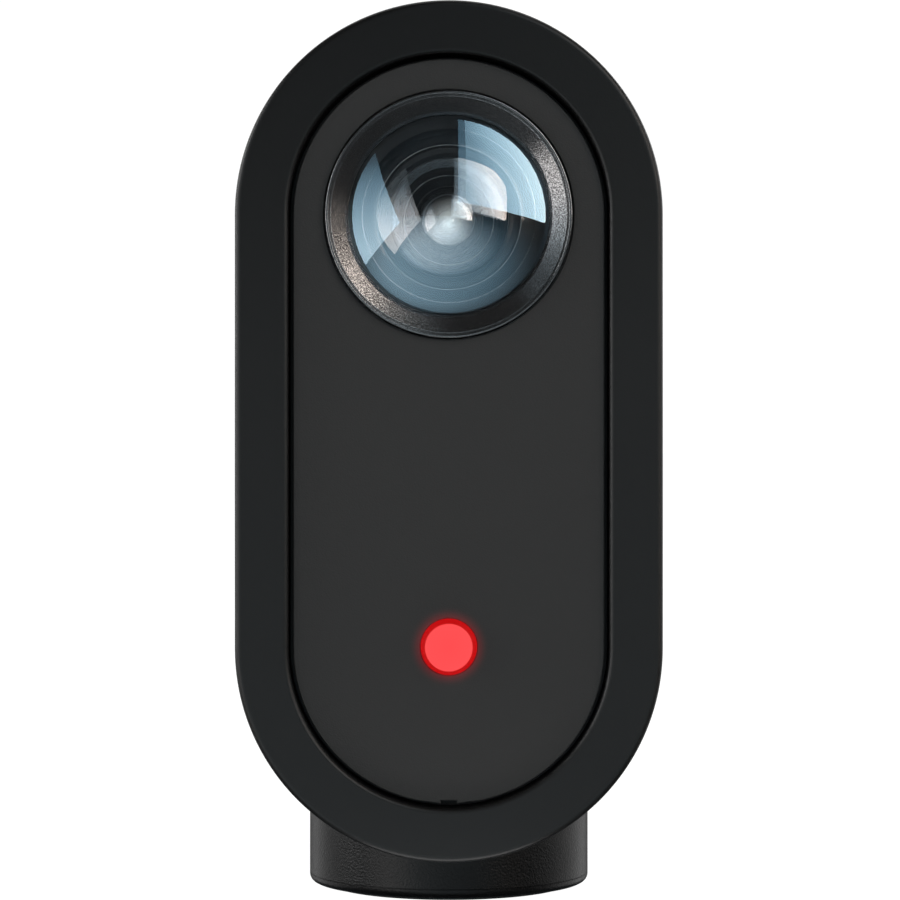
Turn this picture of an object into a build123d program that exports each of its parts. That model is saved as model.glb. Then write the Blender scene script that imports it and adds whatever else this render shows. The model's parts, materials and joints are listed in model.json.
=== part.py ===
"""Streaming action camera: a tall slot-shaped body on a round threaded foot.

The frame is X to the right, Y from the front face to the back and Z up, with the origin on the table
under the middle of the body. All sizes are in millimetres. The body is a slot outline (two half
circles joined by straight sides) carried from front to back, so most parts are slots or turned shapes
around one of its two arc centres: the lens sits on the upper one and the record light on the lower one.
"""

import os
from math import sqrt

from build123d import *

os.makedirs("parts", exist_ok=True)

# ---------------------------------------------------------------- driving dimensions
body_width = 34.0
body_height = 68.5
body_depth = 87.0
base_drop = 7.7  # from the lowest line of the body down to the table
wall = 1.8
opening_radius = 12.75  # half width of the front and rear openings
plate_radius = 12.38  # half width of the plates that fill them
edge_round = 0.45
opening_break = 0.33
lens_ring_radius = 9.83
glass_radius = 8.0
barrel_bore = 5.5
base_radius = 12.9
tripod_radius = 3.2  # smooth bore for a 1/4 inch tripod screw

# ---------------------------------------------------------------- derived places
end_radius = body_width / 2
inner_radius = end_radius - wall
arc_spacing = body_height - body_width
low_arc_z = base_drop + end_radius
high_arc_z = low_arc_z + arc_spacing
mid_z = (low_arc_z + high_arc_z) / 2
front_y = -body_depth / 2
rear_y = body_depth / 2
lens_axis = Axis((0, 0, high_arc_z), (0, 1, 0))
light_z = low_arc_z + 0.1
light_axis = Axis((0, 0, light_z), (0, 1, 0))

plate_thickness = 1.6
front_recess = 0.85
rear_recess = 0.8
front_plate_y = front_y + front_recess
front_plate_back_y = front_plate_y + plate_thickness
rear_plate_y = rear_y - rear_recess
rear_plate_back_y = rear_plate_y - plate_thickness
gasket_thickness = 0.25

# ---------------------------------------------------------------- helpers


def depth_plane(y):
    """Upright plane at depth y: sketch x is X, sketch y is Z, and extrude runs towards the front."""
    return Plane.XZ.offset(-y)


def body_slot(radius, mode=Mode.ADD):
    """The body's outline drawn with another half width, on the same two centres."""
    with Locations((0, mid_z)):
        SlotCenterToCenter(arc_spacing, 2 * radius, rotation=90, mode=mode)


def slot_ring(y_front, y_back, outer, inner=0.0, mode=Mode.ADD):
    """Slab between two depths with the body's outline, open inside where inner is given."""
    with BuildSketch(depth_plane(y_back)) as outline:
        body_slot(outer)
        if inner:
            body_slot(inner, mode=Mode.SUBTRACT)
    extrude(outline.sketch, amount=y_back - y_front, mode=mode)


def rod(x, z, radius, y_front, y_back, mode=Mode.ADD):
    """Round rod or hole that runs along Y between two depths."""
    with BuildSketch(depth_plane(y_back)) as outline:
        with Locations((x, z)):
            Circle(radius)
    extrude(outline.sketch, amount=y_back - y_front, mode=mode)


def rods(spots, radius, y_front, y_back, mode=Mode.ADD):
    """The same rod at each (x, z) of a list."""
    for x, z in spots:
        rod(x, z, radius, y_front, y_back, mode)


def block(x_low, x_high, y_low, y_high, z_low, z_high, mode=Mode.ADD):
    """Square-edged block given by its limits."""
    with Locations(((x_low + x_high) / 2, (y_low + y_high) / 2, (z_low + z_high) / 2)):
        Box(x_high - x_low, y_high - y_low, z_high - z_low, mode=mode)


def cross_rod(y, z, radius, x_low, x_high, mode=Mode.ADD):
    """Round rod or hole that runs along X between two places."""
    with BuildSketch(Plane.YZ.offset(x_low)) as outline:
        with Locations((y, z)):
            Circle(radius)
    extrude(outline.sketch, amount=x_high - x_low, mode=mode)


def post(x, y, radius, z_low, z_high, mode=Mode.ADD):
    """Round rod or hole that runs along Z between two heights."""
    with BuildSketch(Plane.XY.offset(z_low)) as outline:
        with Locations((x, y)):
            Circle(radius)
    extrude(outline.sketch, amount=z_high - z_low, mode=mode)


def turned(points, axis=lens_axis, mode=Mode.ADD):
    """Turned shape round a lengthwise axis, from (radius, depth) corners."""
    with BuildSketch(Plane.XY.offset(axis.position.Z)) as profile:
        with BuildLine():
            Polyline(*points, close=True)
        make_face()
    revolve(profile.sketch, axis=axis, mode=mode)


def sag(curve_radius, radius):
    """Depth of a spherical surface of curve_radius at a distance from its axis; signed like the curve."""
    side = 1 if curve_radius > 0 else -1
    return curve_radius - side * sqrt(curve_radius**2 - radius**2)


def lens_element(front, back, edge):
    """Glass element on the lens axis. The front and back surfaces are (vertex depth, curve, rim radius),
    where a positive curve bulges towards the front, and the edge is (radius, depth of its front)."""

    def arc(vertex, curve, rim):
        return [(r, vertex + sag(curve, r)) for r in (0, rim / 2, rim)]

    front_arc = arc(*front)
    back_arc = arc(*back)
    edge_radius, edge_y = edge
    with BuildSketch(Plane.XY.offset(high_arc_z)) as profile:
        with BuildLine():
            ThreePointArc(*front_arc)
            Polyline(
                front_arc[2],
                (front[2], edge_y),
                (edge_radius, edge_y),
                (edge_radius, back_arc[2][1]),
                back_arc[2],
            )
            ThreePointArc(*back_arc)
            Line(back_arc[0], front_arc[0])
        make_face()
    revolve(profile.sketch, axis=lens_axis)


def screw_along_y(x, z, head_y, tip_y, head_radius, shank_radius, head_height):
    """Pan-head screw whose head lies on depth head_y and whose shank runs to tip_y."""
    outward = -1 if tip_y > head_y else 1
    rod(x, z, shank_radius, min(head_y, tip_y), max(head_y, tip_y))
    head_end = head_y + outward * head_height
    rod(x, z, head_radius, min(head_y, head_end), max(head_y, head_end))
    socket_y = head_end - outward * head_height / 2
    with BuildSketch(depth_plane(max(socket_y, head_end))) as socket:
        with Locations((x, z)):
            RegularPolygon(head_radius * 0.45, 6)
    extrude(socket.sketch, amount=head_height / 2, mode=Mode.SUBTRACT)


def save(piece, name):
    """Label a finished piece and write its STEP file."""
    piece.part.label = name
    export_step(piece.part, f"parts/{name}.step")


# ---------------------------------------------------------------- screw places
frame_screw_x = 9.4
front_screw_spots = [(side * frame_screw_x, z) for side in (-1, 1) for z in (30.0, 47.0)]
rear_screw_spots = [(side * frame_screw_x, z) for side in (-1, 1) for z in (30.0, 54.0)]
lug_inner_x = 7.2
lug_outer_x = 14.2
lug_half_height = 2.4
lug_thickness = 2.7
m2_shank = 1.0
m2_head = 1.7
m2_head_height = 1.05
thread_clearance = 0.03
through_clearance = 0.1
base_screw_y = 8.5

# ---------------------------------------------------------------- body shell
frame_depth = 6.0
seam = 0.1  # shadow line between the end frames and the sleeve
spigot_radius = inner_radius - 0.1
spigot_wall = 1.2
ledge_radius = 11.4
ledge_thickness = 1.5
front_ledge_y = front_plate_back_y + gasket_thickness
rear_ledge_y = rear_plate_back_y - gasket_thickness
sleeve_front_y = front_y + frame_depth + seam
sleeve_rear_y = rear_y - frame_depth - seam
spigot_reach = 2.9
rear_boss_y = rear_ledge_y - ledge_thickness - lug_thickness - 0.05
base_screw_hole = 1.4

with BuildPart() as body_sleeve:
    slot_ring(sleeve_front_y, sleeve_rear_y, end_radius, inner_radius)
    end_faces = body_sleeve.faces().sort_by(Axis.Y)
    for end_face in (end_faces[0], end_faces[-1]):
        chamfer(end_face.outer_wire().edges(), 0.15)
    for y in (-base_screw_y, base_screw_y):
        post(0, y, base_screw_hole, base_drop - 1, base_drop + wall + 1, mode=Mode.SUBTRACT)
save(body_sleeve, "body_sleeve")


def end_frame(face_y, ledge_y, screw_spots):
    """End ring of the body with its opening, the ledge that carries the plate, the spigot that enters
    the sleeve, and the lugs for the frame screws."""
    inward = 1 if face_y < 0 else -1

    def ring(near, far, outer, inner):
        slot_ring(min(near, far), max(near, far), outer, inner)

    ledge_back_y = ledge_y + inward * ledge_thickness
    shoulder_y = face_y + inward * frame_depth
    spigot_y = shoulder_y + inward * spigot_reach
    ring(face_y, ledge_y, end_radius, opening_radius)
    ring(ledge_y, ledge_back_y, end_radius, ledge_radius)
    ring(ledge_back_y, shoulder_y, end_radius, spigot_radius - spigot_wall)
    ring(shoulder_y, spigot_y, spigot_radius, spigot_radius - spigot_wall)
    lug_y = sorted((ledge_back_y, ledge_back_y + inward * lug_thickness))
    for x, z in screw_spots:
        side = 1 if x > 0 else -1
        x_limits = sorted((side * lug_inner_x, side * lug_outer_x))
        block(*x_limits, *lug_y, z - lug_half_height, z + lug_half_height)


def soften_end(frame, end):
    """Round the outer edge of the end face and break the edge of its opening; end is 0 or -1 along Y."""
    end_face = frame.faces().filter_by(Axis.Y).sort_by(Axis.Y)[end]
    fillet(end_face.outer_wire().edges(), edge_round)
    end_face = frame.faces().filter_by(Axis.Y).sort_by(Axis.Y)[end]
    chamfer(end_face.inner_wires()[0].edges(), opening_break)


front_boss_y = -33.05
with BuildPart() as front_frame:
    end_frame(front_y, front_ledge_y, front_screw_spots)
    rods(front_screw_spots, 2.2, front_ledge_y + ledge_thickness, front_boss_y)
    rods(front_screw_spots, m2_shank + thread_clearance, front_boss_y - 5.5, front_boss_y, Mode.SUBTRACT)
    soften_end(front_frame, 0)
save(front_frame, "front_frame")

with BuildPart() as rear_frame:
    end_frame(rear_y, rear_ledge_y, rear_screw_spots)
    rods(rear_screw_spots, m2_shank + through_clearance, rear_boss_y, rear_ledge_y, Mode.SUBTRACT)
    soften_end(rear_frame, -1)
save(rear_frame, "rear_frame")

# ---------------------------------------------------------------- front plate and its gasket
lens_hole_radius = lens_ring_radius + 0.12
light_face_radius = 1.88
light_rim_radius = 2.2
light_hole_radius = light_rim_radius + 0.06
sound_port_width = 1.3
sound_port_depth = 0.25

with BuildPart() as front_plate:
    slot_ring(front_plate_y, front_plate_back_y, plate_radius)
    rod(0, high_arc_z, lens_hole_radius, front_plate_y, front_plate_back_y, Mode.SUBTRACT)
    rod(0, light_z, light_hole_radius, front_plate_y, front_plate_back_y, Mode.SUBTRACT)
    plate_bottom_z = low_arc_z - plate_radius
    block(
        -sound_port_width / 2,
        sound_port_width / 2,
        front_plate_y,
        front_plate_back_y,
        plate_bottom_z - 1,
        plate_bottom_z + sound_port_depth,
        mode=Mode.SUBTRACT,
    )
    plate_face = front_plate.faces().filter_by(Axis.Y).sort_by(Axis.Y)[0]
    chamfer(plate_face.inner_wires().edges(), 0.05)
save(front_plate, "front_plate")

with BuildPart() as front_gasket:
    slot_ring(front_plate_back_y, front_ledge_y, plate_radius - 0.1, ledge_radius + 0.1)
save(front_gasket, "front_gasket")

# ---------------------------------------------------------------- lens module, front to back
ring_front_y = front_y + 0.35
ring_lip_y = front_y + 1.0
glass_seat_y = front_y + 2.35
ring_back_y = -37.5
glass_edge_radius = 8.6
with BuildPart() as lens_ring:
    turned(
        [
            (lens_ring_radius - 0.25, ring_front_y),
            (lens_ring_radius, ring_front_y + 0.25),
            (lens_ring_radius, front_plate_back_y + 0.05),
            (lens_ring_radius + 1.0, front_plate_back_y + 0.05),
            (lens_ring_radius + 1.0, front_plate_back_y + 1.05),
            (lens_ring_radius - 0.5, front_plate_back_y + 1.05),
            (lens_ring_radius - 0.5, ring_back_y),
            (glass_edge_radius + 0.1, ring_back_y),
            (glass_edge_radius + 0.1, glass_seat_y),
            (glass_radius + 0.03, glass_seat_y),
            (glass_radius + 0.03, ring_lip_y + 0.2),
            (glass_radius + 0.2, ring_lip_y),
            (lens_ring_radius - 0.45, ring_front_y + 0.1),
            (lens_ring_radius - 0.4, ring_front_y),
        ]
    )
save(lens_ring, "lens_ring")

dome_vertex_y = front_y + 0.05
glass_back_rim_y = -40.0
with BuildPart() as front_lens:
    lens_element(
        front=(dome_vertex_y, 19.2, glass_radius),
        back=(glass_back_rim_y - sag(12.5, 6.6), 12.5, 6.6),
        edge=(glass_edge_radius, glass_seat_y + 0.05),
    )
save(front_lens, "front_lens")

barrel_front_y = glass_back_rim_y + 0.05
barrel_flange_y = barrel_front_y + 1.4
barrel_radius = 6.8
barrel_back_y = -27.05
lip_y = -38.4
with BuildPart() as lens_barrel:
    turned(
        [
            (6.85, barrel_front_y),
            (7.35, barrel_front_y),
            (7.35, barrel_front_y + 0.45),
            (8.25, barrel_front_y + 0.45),
            (8.25, barrel_front_y),
            (glass_edge_radius, barrel_front_y),
            (glass_edge_radius, barrel_flange_y),
            (barrel_radius, barrel_flange_y),
            (barrel_radius, barrel_back_y),
            (barrel_bore, barrel_back_y),
            (barrel_bore, lip_y + 0.4),
            (barrel_bore - 0.55, lip_y + 0.4),
            (barrel_bore - 0.55, lip_y),
        ]
    )
save(lens_barrel, "lens_barrel")

with BuildPart() as lens_seal:
    turned(
        [
            (7.45, barrel_front_y - 0.03),
            (8.15, barrel_front_y - 0.03),
            (8.15, barrel_front_y + 0.42),
            (7.45, barrel_front_y + 0.42),
        ]
    )
save(lens_seal, "lens_seal")

stack_radius = barrel_bore - 0.05
second_back_y = -36.2
with BuildPart() as second_lens:
    lens_element(
        front=(lip_y - 0.35, 17.0, 4.85),
        back=(second_back_y - 1.0, 7.0, 4.2),
        edge=(stack_radius, lip_y + 0.45),
    )
save(second_lens, "second_lens")

third_front_y = -34.0
stop_y = -32.0
rear_lens_y = -30.2
with BuildPart() as lens_spacers:
    turned(
        [
            (4.7, second_back_y + 0.45),
            (stack_radius, second_back_y + 0.45),
            (stack_radius, third_front_y - 0.05),
            (3.45, third_front_y - 0.05),
            (3.45, third_front_y - 0.45),
        ]
    )
    turned(
        [
            (4.3, stop_y + 0.3),
            (stack_radius, stop_y + 0.3),
            (stack_radius, rear_lens_y + 0.25),
            (4.3, rear_lens_y + 0.25),
        ]
    )
save(lens_spacers, "lens_spacers")

with BuildPart() as third_lens:
    lens_element(
        front=(third_front_y - 0.3, 14.0, 3.4),
        back=(stop_y - 0.25, -16.0, 3.2),
        edge=(stack_radius, third_front_y + 0.3),
    )
save(third_lens, "third_lens")

with BuildPart() as aperture_stop:
    turned(
        [
            (1.75, stop_y - 0.1),
            (stack_radius, stop_y - 0.1),
            (stack_radius, stop_y + 0.2),
            (1.85, stop_y + 0.2),
        ]
    )
save(aperture_stop, "aperture_stop")

with BuildPart() as rear_lens:
    lens_element(
        front=(rear_lens_y - 0.4, 9.0, 3.6),
        back=(rear_lens_y + 1.8, -11.0, 3.6),
        edge=(stack_radius, rear_lens_y + 0.6),
    )
save(rear_lens, "rear_lens")

with BuildPart() as lens_retainers:
    for inner, outer, y_front, y_back in (
        (6.9, 8.65, barrel_flange_y + 0.05, ring_back_y),
        (3.8, stack_radius, rear_lens_y + 1.25, barrel_back_y),
    ):
        turned([(inner, y_front), (outer, y_front), (outer, y_back), (inner, y_back)])
save(lens_retainers, "lens_retainers")

# ---------------------------------------------------------------- lens mount, sensor and its board
bulkhead_front_y = -33.0
bulkhead_back_y = -31.2
mount_front_y = -33.8
mount_back_y = -24.1
mount_flange_back_y = -29.4
mount_square = 19.0
board_thickness = 1.0
shelf_y = -26.2
mount_screw_spots = [(0.0, high_arc_z + 11.0), (-9.5, high_arc_z - 5.5), (9.5, high_arc_z - 5.5)]
sensor_screw_spots = [(x, high_arc_z + dz) for x in (-8.0, 8.0) for dz in (-8.0, 8.0)]
small_shank = 0.7
small_head = 1.3
with BuildPart() as lens_mount:
    rod(0, high_arc_z, 8.2, mount_front_y, mount_back_y)
    rod(0, high_arc_z, 12.4, bulkhead_back_y, mount_flange_back_y)
    block(-9.5, 9.5, shelf_y + 0.1, mount_back_y, high_arc_z - 9.5, high_arc_z + 9.5)
    rods(sensor_screw_spots, 1.5, mount_flange_back_y, shelf_y + 0.1)
    rod(0, high_arc_z, barrel_radius + 0.05, mount_front_y, barrel_back_y + 0.05, Mode.SUBTRACT)
    rod(0, high_arc_z, 4.5, barrel_back_y, shelf_y, Mode.SUBTRACT)
    block(-6, 6, shelf_y, mount_back_y, high_arc_z - 6, high_arc_z + 6, mode=Mode.SUBTRACT)
    through_radius = small_shank + through_clearance
    thread_radius = small_shank + thread_clearance
    rods(mount_screw_spots, through_radius, bulkhead_back_y, mount_flange_back_y, Mode.SUBTRACT)
    rods(sensor_screw_spots, thread_radius, mount_flange_back_y + 0.5, mount_back_y, Mode.SUBTRACT)
save(lens_mount, "lens_mount")

with BuildPart() as ir_filter:
    block(-4.75, 4.75, shelf_y, shelf_y + 0.4, high_arc_z - 4.75, high_arc_z + 4.75)
save(ir_filter, "ir_filter")

with BuildPart() as image_sensor:
    sensor_front_y = mount_back_y - 1.2
    block(-5, 5, sensor_front_y, mount_back_y, high_arc_z - 5, high_arc_z + 5)
    window = (-3.6, 3.6, sensor_front_y, sensor_front_y + 0.2, high_arc_z - 2.4, high_arc_z + 2.4)
    block(*window, mode=Mode.SUBTRACT)
save(image_sensor, "image_sensor")

sensor_board_back_y = mount_back_y + board_thickness
with BuildPart() as sensor_board:
    with BuildSketch(depth_plane(sensor_board_back_y)):
        with Locations((0, high_arc_z)):
            RectangleRounded(20, 20, 1.5)
    extrude(amount=board_thickness)
    rods(sensor_screw_spots, through_radius, mount_back_y, sensor_board_back_y, Mode.SUBTRACT)
save(sensor_board, "sensor_board")

with BuildPart() as lens_module_screws:
    for x, z in mount_screw_spots:
        screw_along_y(x, z, mount_flange_back_y, bulkhead_front_y + 0.2, small_head, small_shank, 0.8)
    for x, z in sensor_screw_spots:
        screw_along_y(x, z, sensor_board_back_y, shelf_y - 1.8, small_head, small_shank, 0.8)
save(lens_module_screws, "lens_module_screws")

# ---------------------------------------------------------------- record light and front board
front_board_y = -38.6
front_board_back_y = front_board_y + board_thickness
light_proud = 0.8
light_flange_y = front_plate_back_y + 0.05
with BuildPart() as record_light:
    turned(
        [
            (0, front_plate_y - light_proud),
            (light_face_radius, front_plate_y - light_proud),
            (light_rim_radius, front_plate_y),
            (light_rim_radius, light_flange_y),
            (3.0, light_flange_y),
            (3.0, light_flange_y + 0.7),
            (1.6, light_flange_y + 0.9),
            (1.6, front_board_y - 1.05),
            (0, front_board_y - 1.05),
        ],
        axis=light_axis,
    )
save(record_light, "record_light")

with BuildPart() as light_baffle:
    turned(
        [
            (2.4, light_flange_y + 1.0),
            (3.6, light_flange_y + 1.0),
            (3.6, front_board_y),
            (2.4, front_board_y),
        ],
        axis=light_axis,
    )
save(light_baffle, "light_baffle")

microphone_spots = [(0.0, 16.4), (-4.2, 41.2), (4.2, 41.2)]
with BuildPart() as front_board:
    with BuildSketch(depth_plane(front_board_back_y)):
        with Locations((0, 29.0)):
            RectangleRounded(13.0, 30.0, 2.0)
    extrude(amount=board_thickness)
save(front_board, "front_board")

with BuildPart() as microphones:
    for x, z in microphone_spots:
        block(x - 1.75, x + 1.75, front_board_y - 1.0, front_board_y, z - 1.35, z + 1.35)
        rod(x, z + 0.5, 0.3, front_board_y - 1.0, front_board_y - 0.6, Mode.SUBTRACT)
save(microphones, "microphones")

boot_front_y = front_plate_back_y + 0.1
with BuildPart() as microphone_boots:
    for x, z in microphone_spots:
        block(x - 2.3, x + 2.3, boot_front_y, front_board_y - 1.0, z - 2.0, z + 2.0)
        rod(x, z + 0.5, 0.5, boot_front_y, front_board_y - 1.0, Mode.SUBTRACT)
        block(x - 0.4, x + 0.4, boot_front_y, boot_front_y + 0.5, z - 2.0, z + 0.5, mode=Mode.SUBTRACT)
save(microphone_boots, "microphone_boots")

# ---------------------------------------------------------------- chassis
chassis_radius = inner_radius - 0.3
rail_inner_radius = chassis_radius - 1.5
rear_bulkhead_front_y = 30.2
rear_bulkhead_back_y = 32.0
main_board_x = -3.1  # outer face of the main board, on the heat sink's side
main_board_inner_x = main_board_x + board_thickness
tab_x = 1.2
board_screw_spots = [(y, z) for y in (-12.0, 24.0) for z in (16.5, 67.5)]
with BuildPart() as chassis:
    for y_front, y_back in (
        (bulkhead_front_y, bulkhead_back_y),
        (rear_bulkhead_front_y, rear_bulkhead_back_y),
    ):
        slot_ring(y_front, y_back, chassis_radius)
    rod(0, high_arc_z, 9.6, bulkhead_front_y, bulkhead_back_y, Mode.SUBTRACT)
    with BuildSketch(depth_plane(bulkhead_back_y)):
        with Locations((0, 30.0)):
            SlotCenterToCenter(12, 12, rotation=90)
    extrude(amount=bulkhead_back_y - bulkhead_front_y, mode=Mode.SUBTRACT)
    with BuildSketch(depth_plane(rear_bulkhead_back_y)):
        with Locations((0, mid_z)):
            SlotCenterToCenter(46, 14, rotation=90)
    extrude(amount=rear_bulkhead_back_y - rear_bulkhead_front_y, mode=Mode.SUBTRACT)
    with BuildSketch(depth_plane(rear_bulkhead_front_y)):
        body_slot(chassis_radius)
        body_slot(rail_inner_radius, mode=Mode.SUBTRACT)
        with Locations((0, mid_z)):
            Rectangle(10, 80, mode=Mode.INTERSECT)
    extrude(amount=rear_bulkhead_front_y - bulkhead_back_y)
    top_rail_z = high_arc_z + rail_inner_radius
    bottom_rail_z = low_arc_z - rail_inner_radius
    for y, z in board_screw_spots:
        z_limits = (65.0, top_rail_z + 0.2) if z > mid_z else (bottom_rail_z - 0.2, 18.9)
        block(main_board_inner_x, tab_x, y - 2.5, y + 2.5, *z_limits)
        cross_rod(y, z, 0.8 + thread_clearance, main_board_inner_x, tab_x, Mode.SUBTRACT)
    for y in (-base_screw_y, base_screw_y):
        post(0, y, 2.6, bottom_rail_z - 0.8, 13.3)
        post(0, y, 1.25 + thread_clearance, bottom_rail_z - 3, 13.4, Mode.SUBTRACT)
    rods(rear_screw_spots, 2.2, rear_bulkhead_back_y, rear_boss_y)
    rods(rear_screw_spots, m2_shank + thread_clearance, rear_bulkhead_front_y, rear_boss_y, Mode.SUBTRACT)
    rods(front_screw_spots, m2_shank + through_clearance, bulkhead_front_y, bulkhead_back_y, Mode.SUBTRACT)
    rods(mount_screw_spots, small_shank + thread_clearance, bulkhead_front_y, bulkhead_back_y, Mode.SUBTRACT)
save(chassis, "chassis")

with BuildPart() as front_screws:
    for x, z in front_screw_spots:
        screw_along_y(x, z, bulkhead_back_y, front_boss_y - 4.5, m2_head, m2_shank, m2_head_height)
save(front_screws, "front_screws")

with BuildPart() as rear_screws:
    head_y = rear_ledge_y - ledge_thickness
    for x, z in rear_screw_spots:
        screw_along_y(x, z, head_y, rear_bulkhead_back_y + 0.6, m2_head, m2_shank, m2_head_height)
save(rear_screws, "rear_screws")

# ---------------------------------------------------------------- main board and what is soldered on it
main_board_front_y = -16.0
main_board_rear_y = 38.3
heat_sink_screw_spots = [(22.0, 57.0), (-10.0, 25.0)]
processor_thickness = 1.4
pad_thickness = 0.8
sink_base_x = main_board_x - processor_thickness - pad_thickness
sink_base_thickness = 1.5
with BuildPart() as main_board:
    with BuildSketch(Plane.YZ.offset(main_board_x)):
        with Locations(((main_board_front_y + main_board_rear_y) / 2, mid_z + 0.05)):
            RectangleRounded(main_board_rear_y - main_board_front_y, 57.0, 2.0)
        with Locations(*board_screw_spots):
            Circle(0.8 + through_clearance, mode=Mode.SUBTRACT)
        with Locations(*heat_sink_screw_spots):
            Circle(0.8 + through_clearance, mode=Mode.SUBTRACT)
    extrude(amount=board_thickness)
save(main_board, "main_board")

with BuildPart() as processor:
    block(main_board_x - processor_thickness, main_board_x, -1, 13, 35, 49)
save(processor, "processor")

with BuildPart() as memory_chips:
    for z in (34.0, 48.0):
        block(main_board_x - 1.0, main_board_x, -12, -4, z - 6, z + 6)
save(memory_chips, "memory_chips")

with BuildPart() as radio_module:
    block(main_board_x - 1.9, main_board_x, 26.8, 37.2, 52, 65)
    fillet(radio_module.edges().filter_by(Axis.X), 0.5)
save(radio_module, "radio_module")

with BuildPart() as thermal_pad:
    block(sink_base_x, main_board_x - processor_thickness, -0.5, 12.5, 35.5, 48.5)
save(thermal_pad, "thermal_pad")

with BuildPart() as heat_sink:
    block(sink_base_x - sink_base_thickness, sink_base_x, -14, 26, 22, 62)
    fin_x = sink_base_x - sink_base_thickness
    for fin in range(9):
        fin_z = 22 + fin * 4.875
        block(fin_x - 6.2, fin_x, -14, 26, fin_z, fin_z + 1.0)
    for y, z in heat_sink_screw_spots:
        cross_rod(y, z, 1.8, sink_base_x, main_board_x)
        cross_rod(y, z, 0.8 + thread_clearance, sink_base_x - 1.0, main_board_x, Mode.SUBTRACT)
save(heat_sink, "heat_sink")

with BuildPart() as board_screws:
    for y, z in board_screw_spots:
        cross_rod(y, z, 0.8, main_board_x, tab_x - 0.4)
        cross_rod(y, z, 1.6, main_board_x - 0.9, main_board_x)
    for y, z in heat_sink_screw_spots:
        cross_rod(y, z, 0.8, sink_base_x - 0.8, main_board_inner_x)
        cross_rod(y, z, 1.6, main_board_inner_x, main_board_inner_x + 0.9)
save(board_screws, "board_screws")

# The power button's switch is the upper one and the reset switch the lower one.
button_z = high_arc_z
reset_z = 33.0
power_travel = 0.4
switch_floor_y = 36.4
switch_rear_y = 38.0
with BuildPart() as button_switches:
    block(main_board_inner_x, 2.1, 34.5, switch_rear_y, button_z - 3, button_z + 3)
    rod(0, button_z, 1.0, switch_floor_y, switch_rear_y, Mode.SUBTRACT)
    block(main_board_inner_x, 1.3, 34.9, switch_rear_y, reset_z - 1.6, reset_z + 1.6)
    rod(0, reset_z, 0.65, switch_floor_y, switch_rear_y, Mode.SUBTRACT)
save(button_switches, "button_switches")

status_light_spots = [50.9, 53.3]
with BuildPart() as indicator_leds:
    block(-1.5, 1.5, front_board_y - 0.9, front_board_y, light_z - 1.5, light_z + 1.5)
    for z in status_light_spots:
        block(main_board_inner_x, -0.9, 35.6, 37.4, z - 0.5, z + 0.5)
save(indicator_leds, "indicator_leds")

connector_x = main_board_inner_x + 1.0
with BuildPart() as board_connectors:
    block(-1, 5, sensor_board_back_y, sensor_board_back_y + 1.1, 54.2, 64.2)
    block(main_board_inner_x, connector_x, -14, -10, 53.2, 63.2)
    block(-1.5, 1.5, front_board_back_y, front_board_back_y + 1.4, 30, 37)
    block(main_board_inner_x, connector_x, -14, -10, 30, 37)
    block(main_board_inner_x, 0.5, -7, 0, 56.0, 60.0)
save(board_connectors, "board_connectors")

# ---------------------------------------------------------------- flat cables
flex_thickness = 0.2
flex_y = sensor_board_back_y + 1.1 + flex_thickness / 2
with BuildPart() as flex_cables:
    with BuildSketch(Plane.XY.offset(55.2)):
        with BuildLine():
            FilletPolyline(
                (-0.8, flex_y),
                (6.5, flex_y),
                (6.5, -17.2),
                (connector_x + 0.1, -17.2),
                (connector_x + 0.1, -10.2),
                radius=1.2,
            )
        trace(line_width=flex_thickness)
    extrude(amount=7.0)
    with BuildSketch(Plane.XY.offset(31.0)):
        with BuildLine():
            FilletPolyline(
                (0.2, front_board_back_y + 1.4),
                (0.2, -20.0),
                (connector_x + 0.1, -16.0),
                (connector_x + 0.1, -10.2),
                radius=3.0,
            )
        trace(line_width=flex_thickness)
    extrude(amount=5.0)
save(flex_cables, "flex_cables")

# ---------------------------------------------------------------- battery
cell_x = (1.8, 7.7, 13.5)
cell_y = (-14.0, 25.5)
cell_z = (20.0, 64.0)
tray_wall = 0.6
with BuildPart() as battery_cells:
    for inner_x, outer_x in zip(cell_x, cell_x[1:]):
        block(inner_x + 0.05, outer_x - 0.05, *cell_y, *cell_z)
    fillet(battery_cells.edges().filter_by(Axis.Y), 1.2)
save(battery_cells, "battery_cells")

with BuildPart() as battery_tray:
    block(cell_x[0] - tray_wall, cell_x[0], *cell_y, cell_z[0] - tray_wall, cell_z[1] + tray_wall)
    for z in (cell_z[0] - tray_wall, cell_z[1]):
        block(cell_x[0], 11.5, *cell_y, z, z + tray_wall)
save(battery_tray, "battery_tray")

battery_board_z = cell_z[1] + tray_wall
with BuildPart() as battery_board:
    block(3.0, 10.0, -8, 12, battery_board_z, battery_board_z + 0.8)
save(battery_board, "battery_board")

lead_radius = 0.45
lead_z = battery_board_z + 0.8 + lead_radius
with BuildPart() as battery_lead:
    for y in (-5.0, -3.2):
        with BuildLine() as lead_path:
            FilletPolyline((6.5, y, lead_z), (-0.6, y, lead_z), (-0.6, y, 60.0), radius=2.0)
        with BuildSketch(Plane(origin=(6.5, y, lead_z), z_dir=(-1, 0, 0))):
            Circle(lead_radius)
        sweep(path=lead_path.line)
save(battery_lead, "battery_lead")

# ---------------------------------------------------------------- antennas, tilted to follow the roof
antenna_reach = 13.2
with BuildPart() as antennas:
    for side in (-1, 1):
        offset_x = side * antenna_reach / sqrt(2)
        with Locations(Location((offset_x, 5, high_arc_z + antenna_reach / sqrt(2)), (0, side * 45, 0))):
            Box(5.0, 30.0, 0.8)
save(antennas, "antennas")

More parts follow.
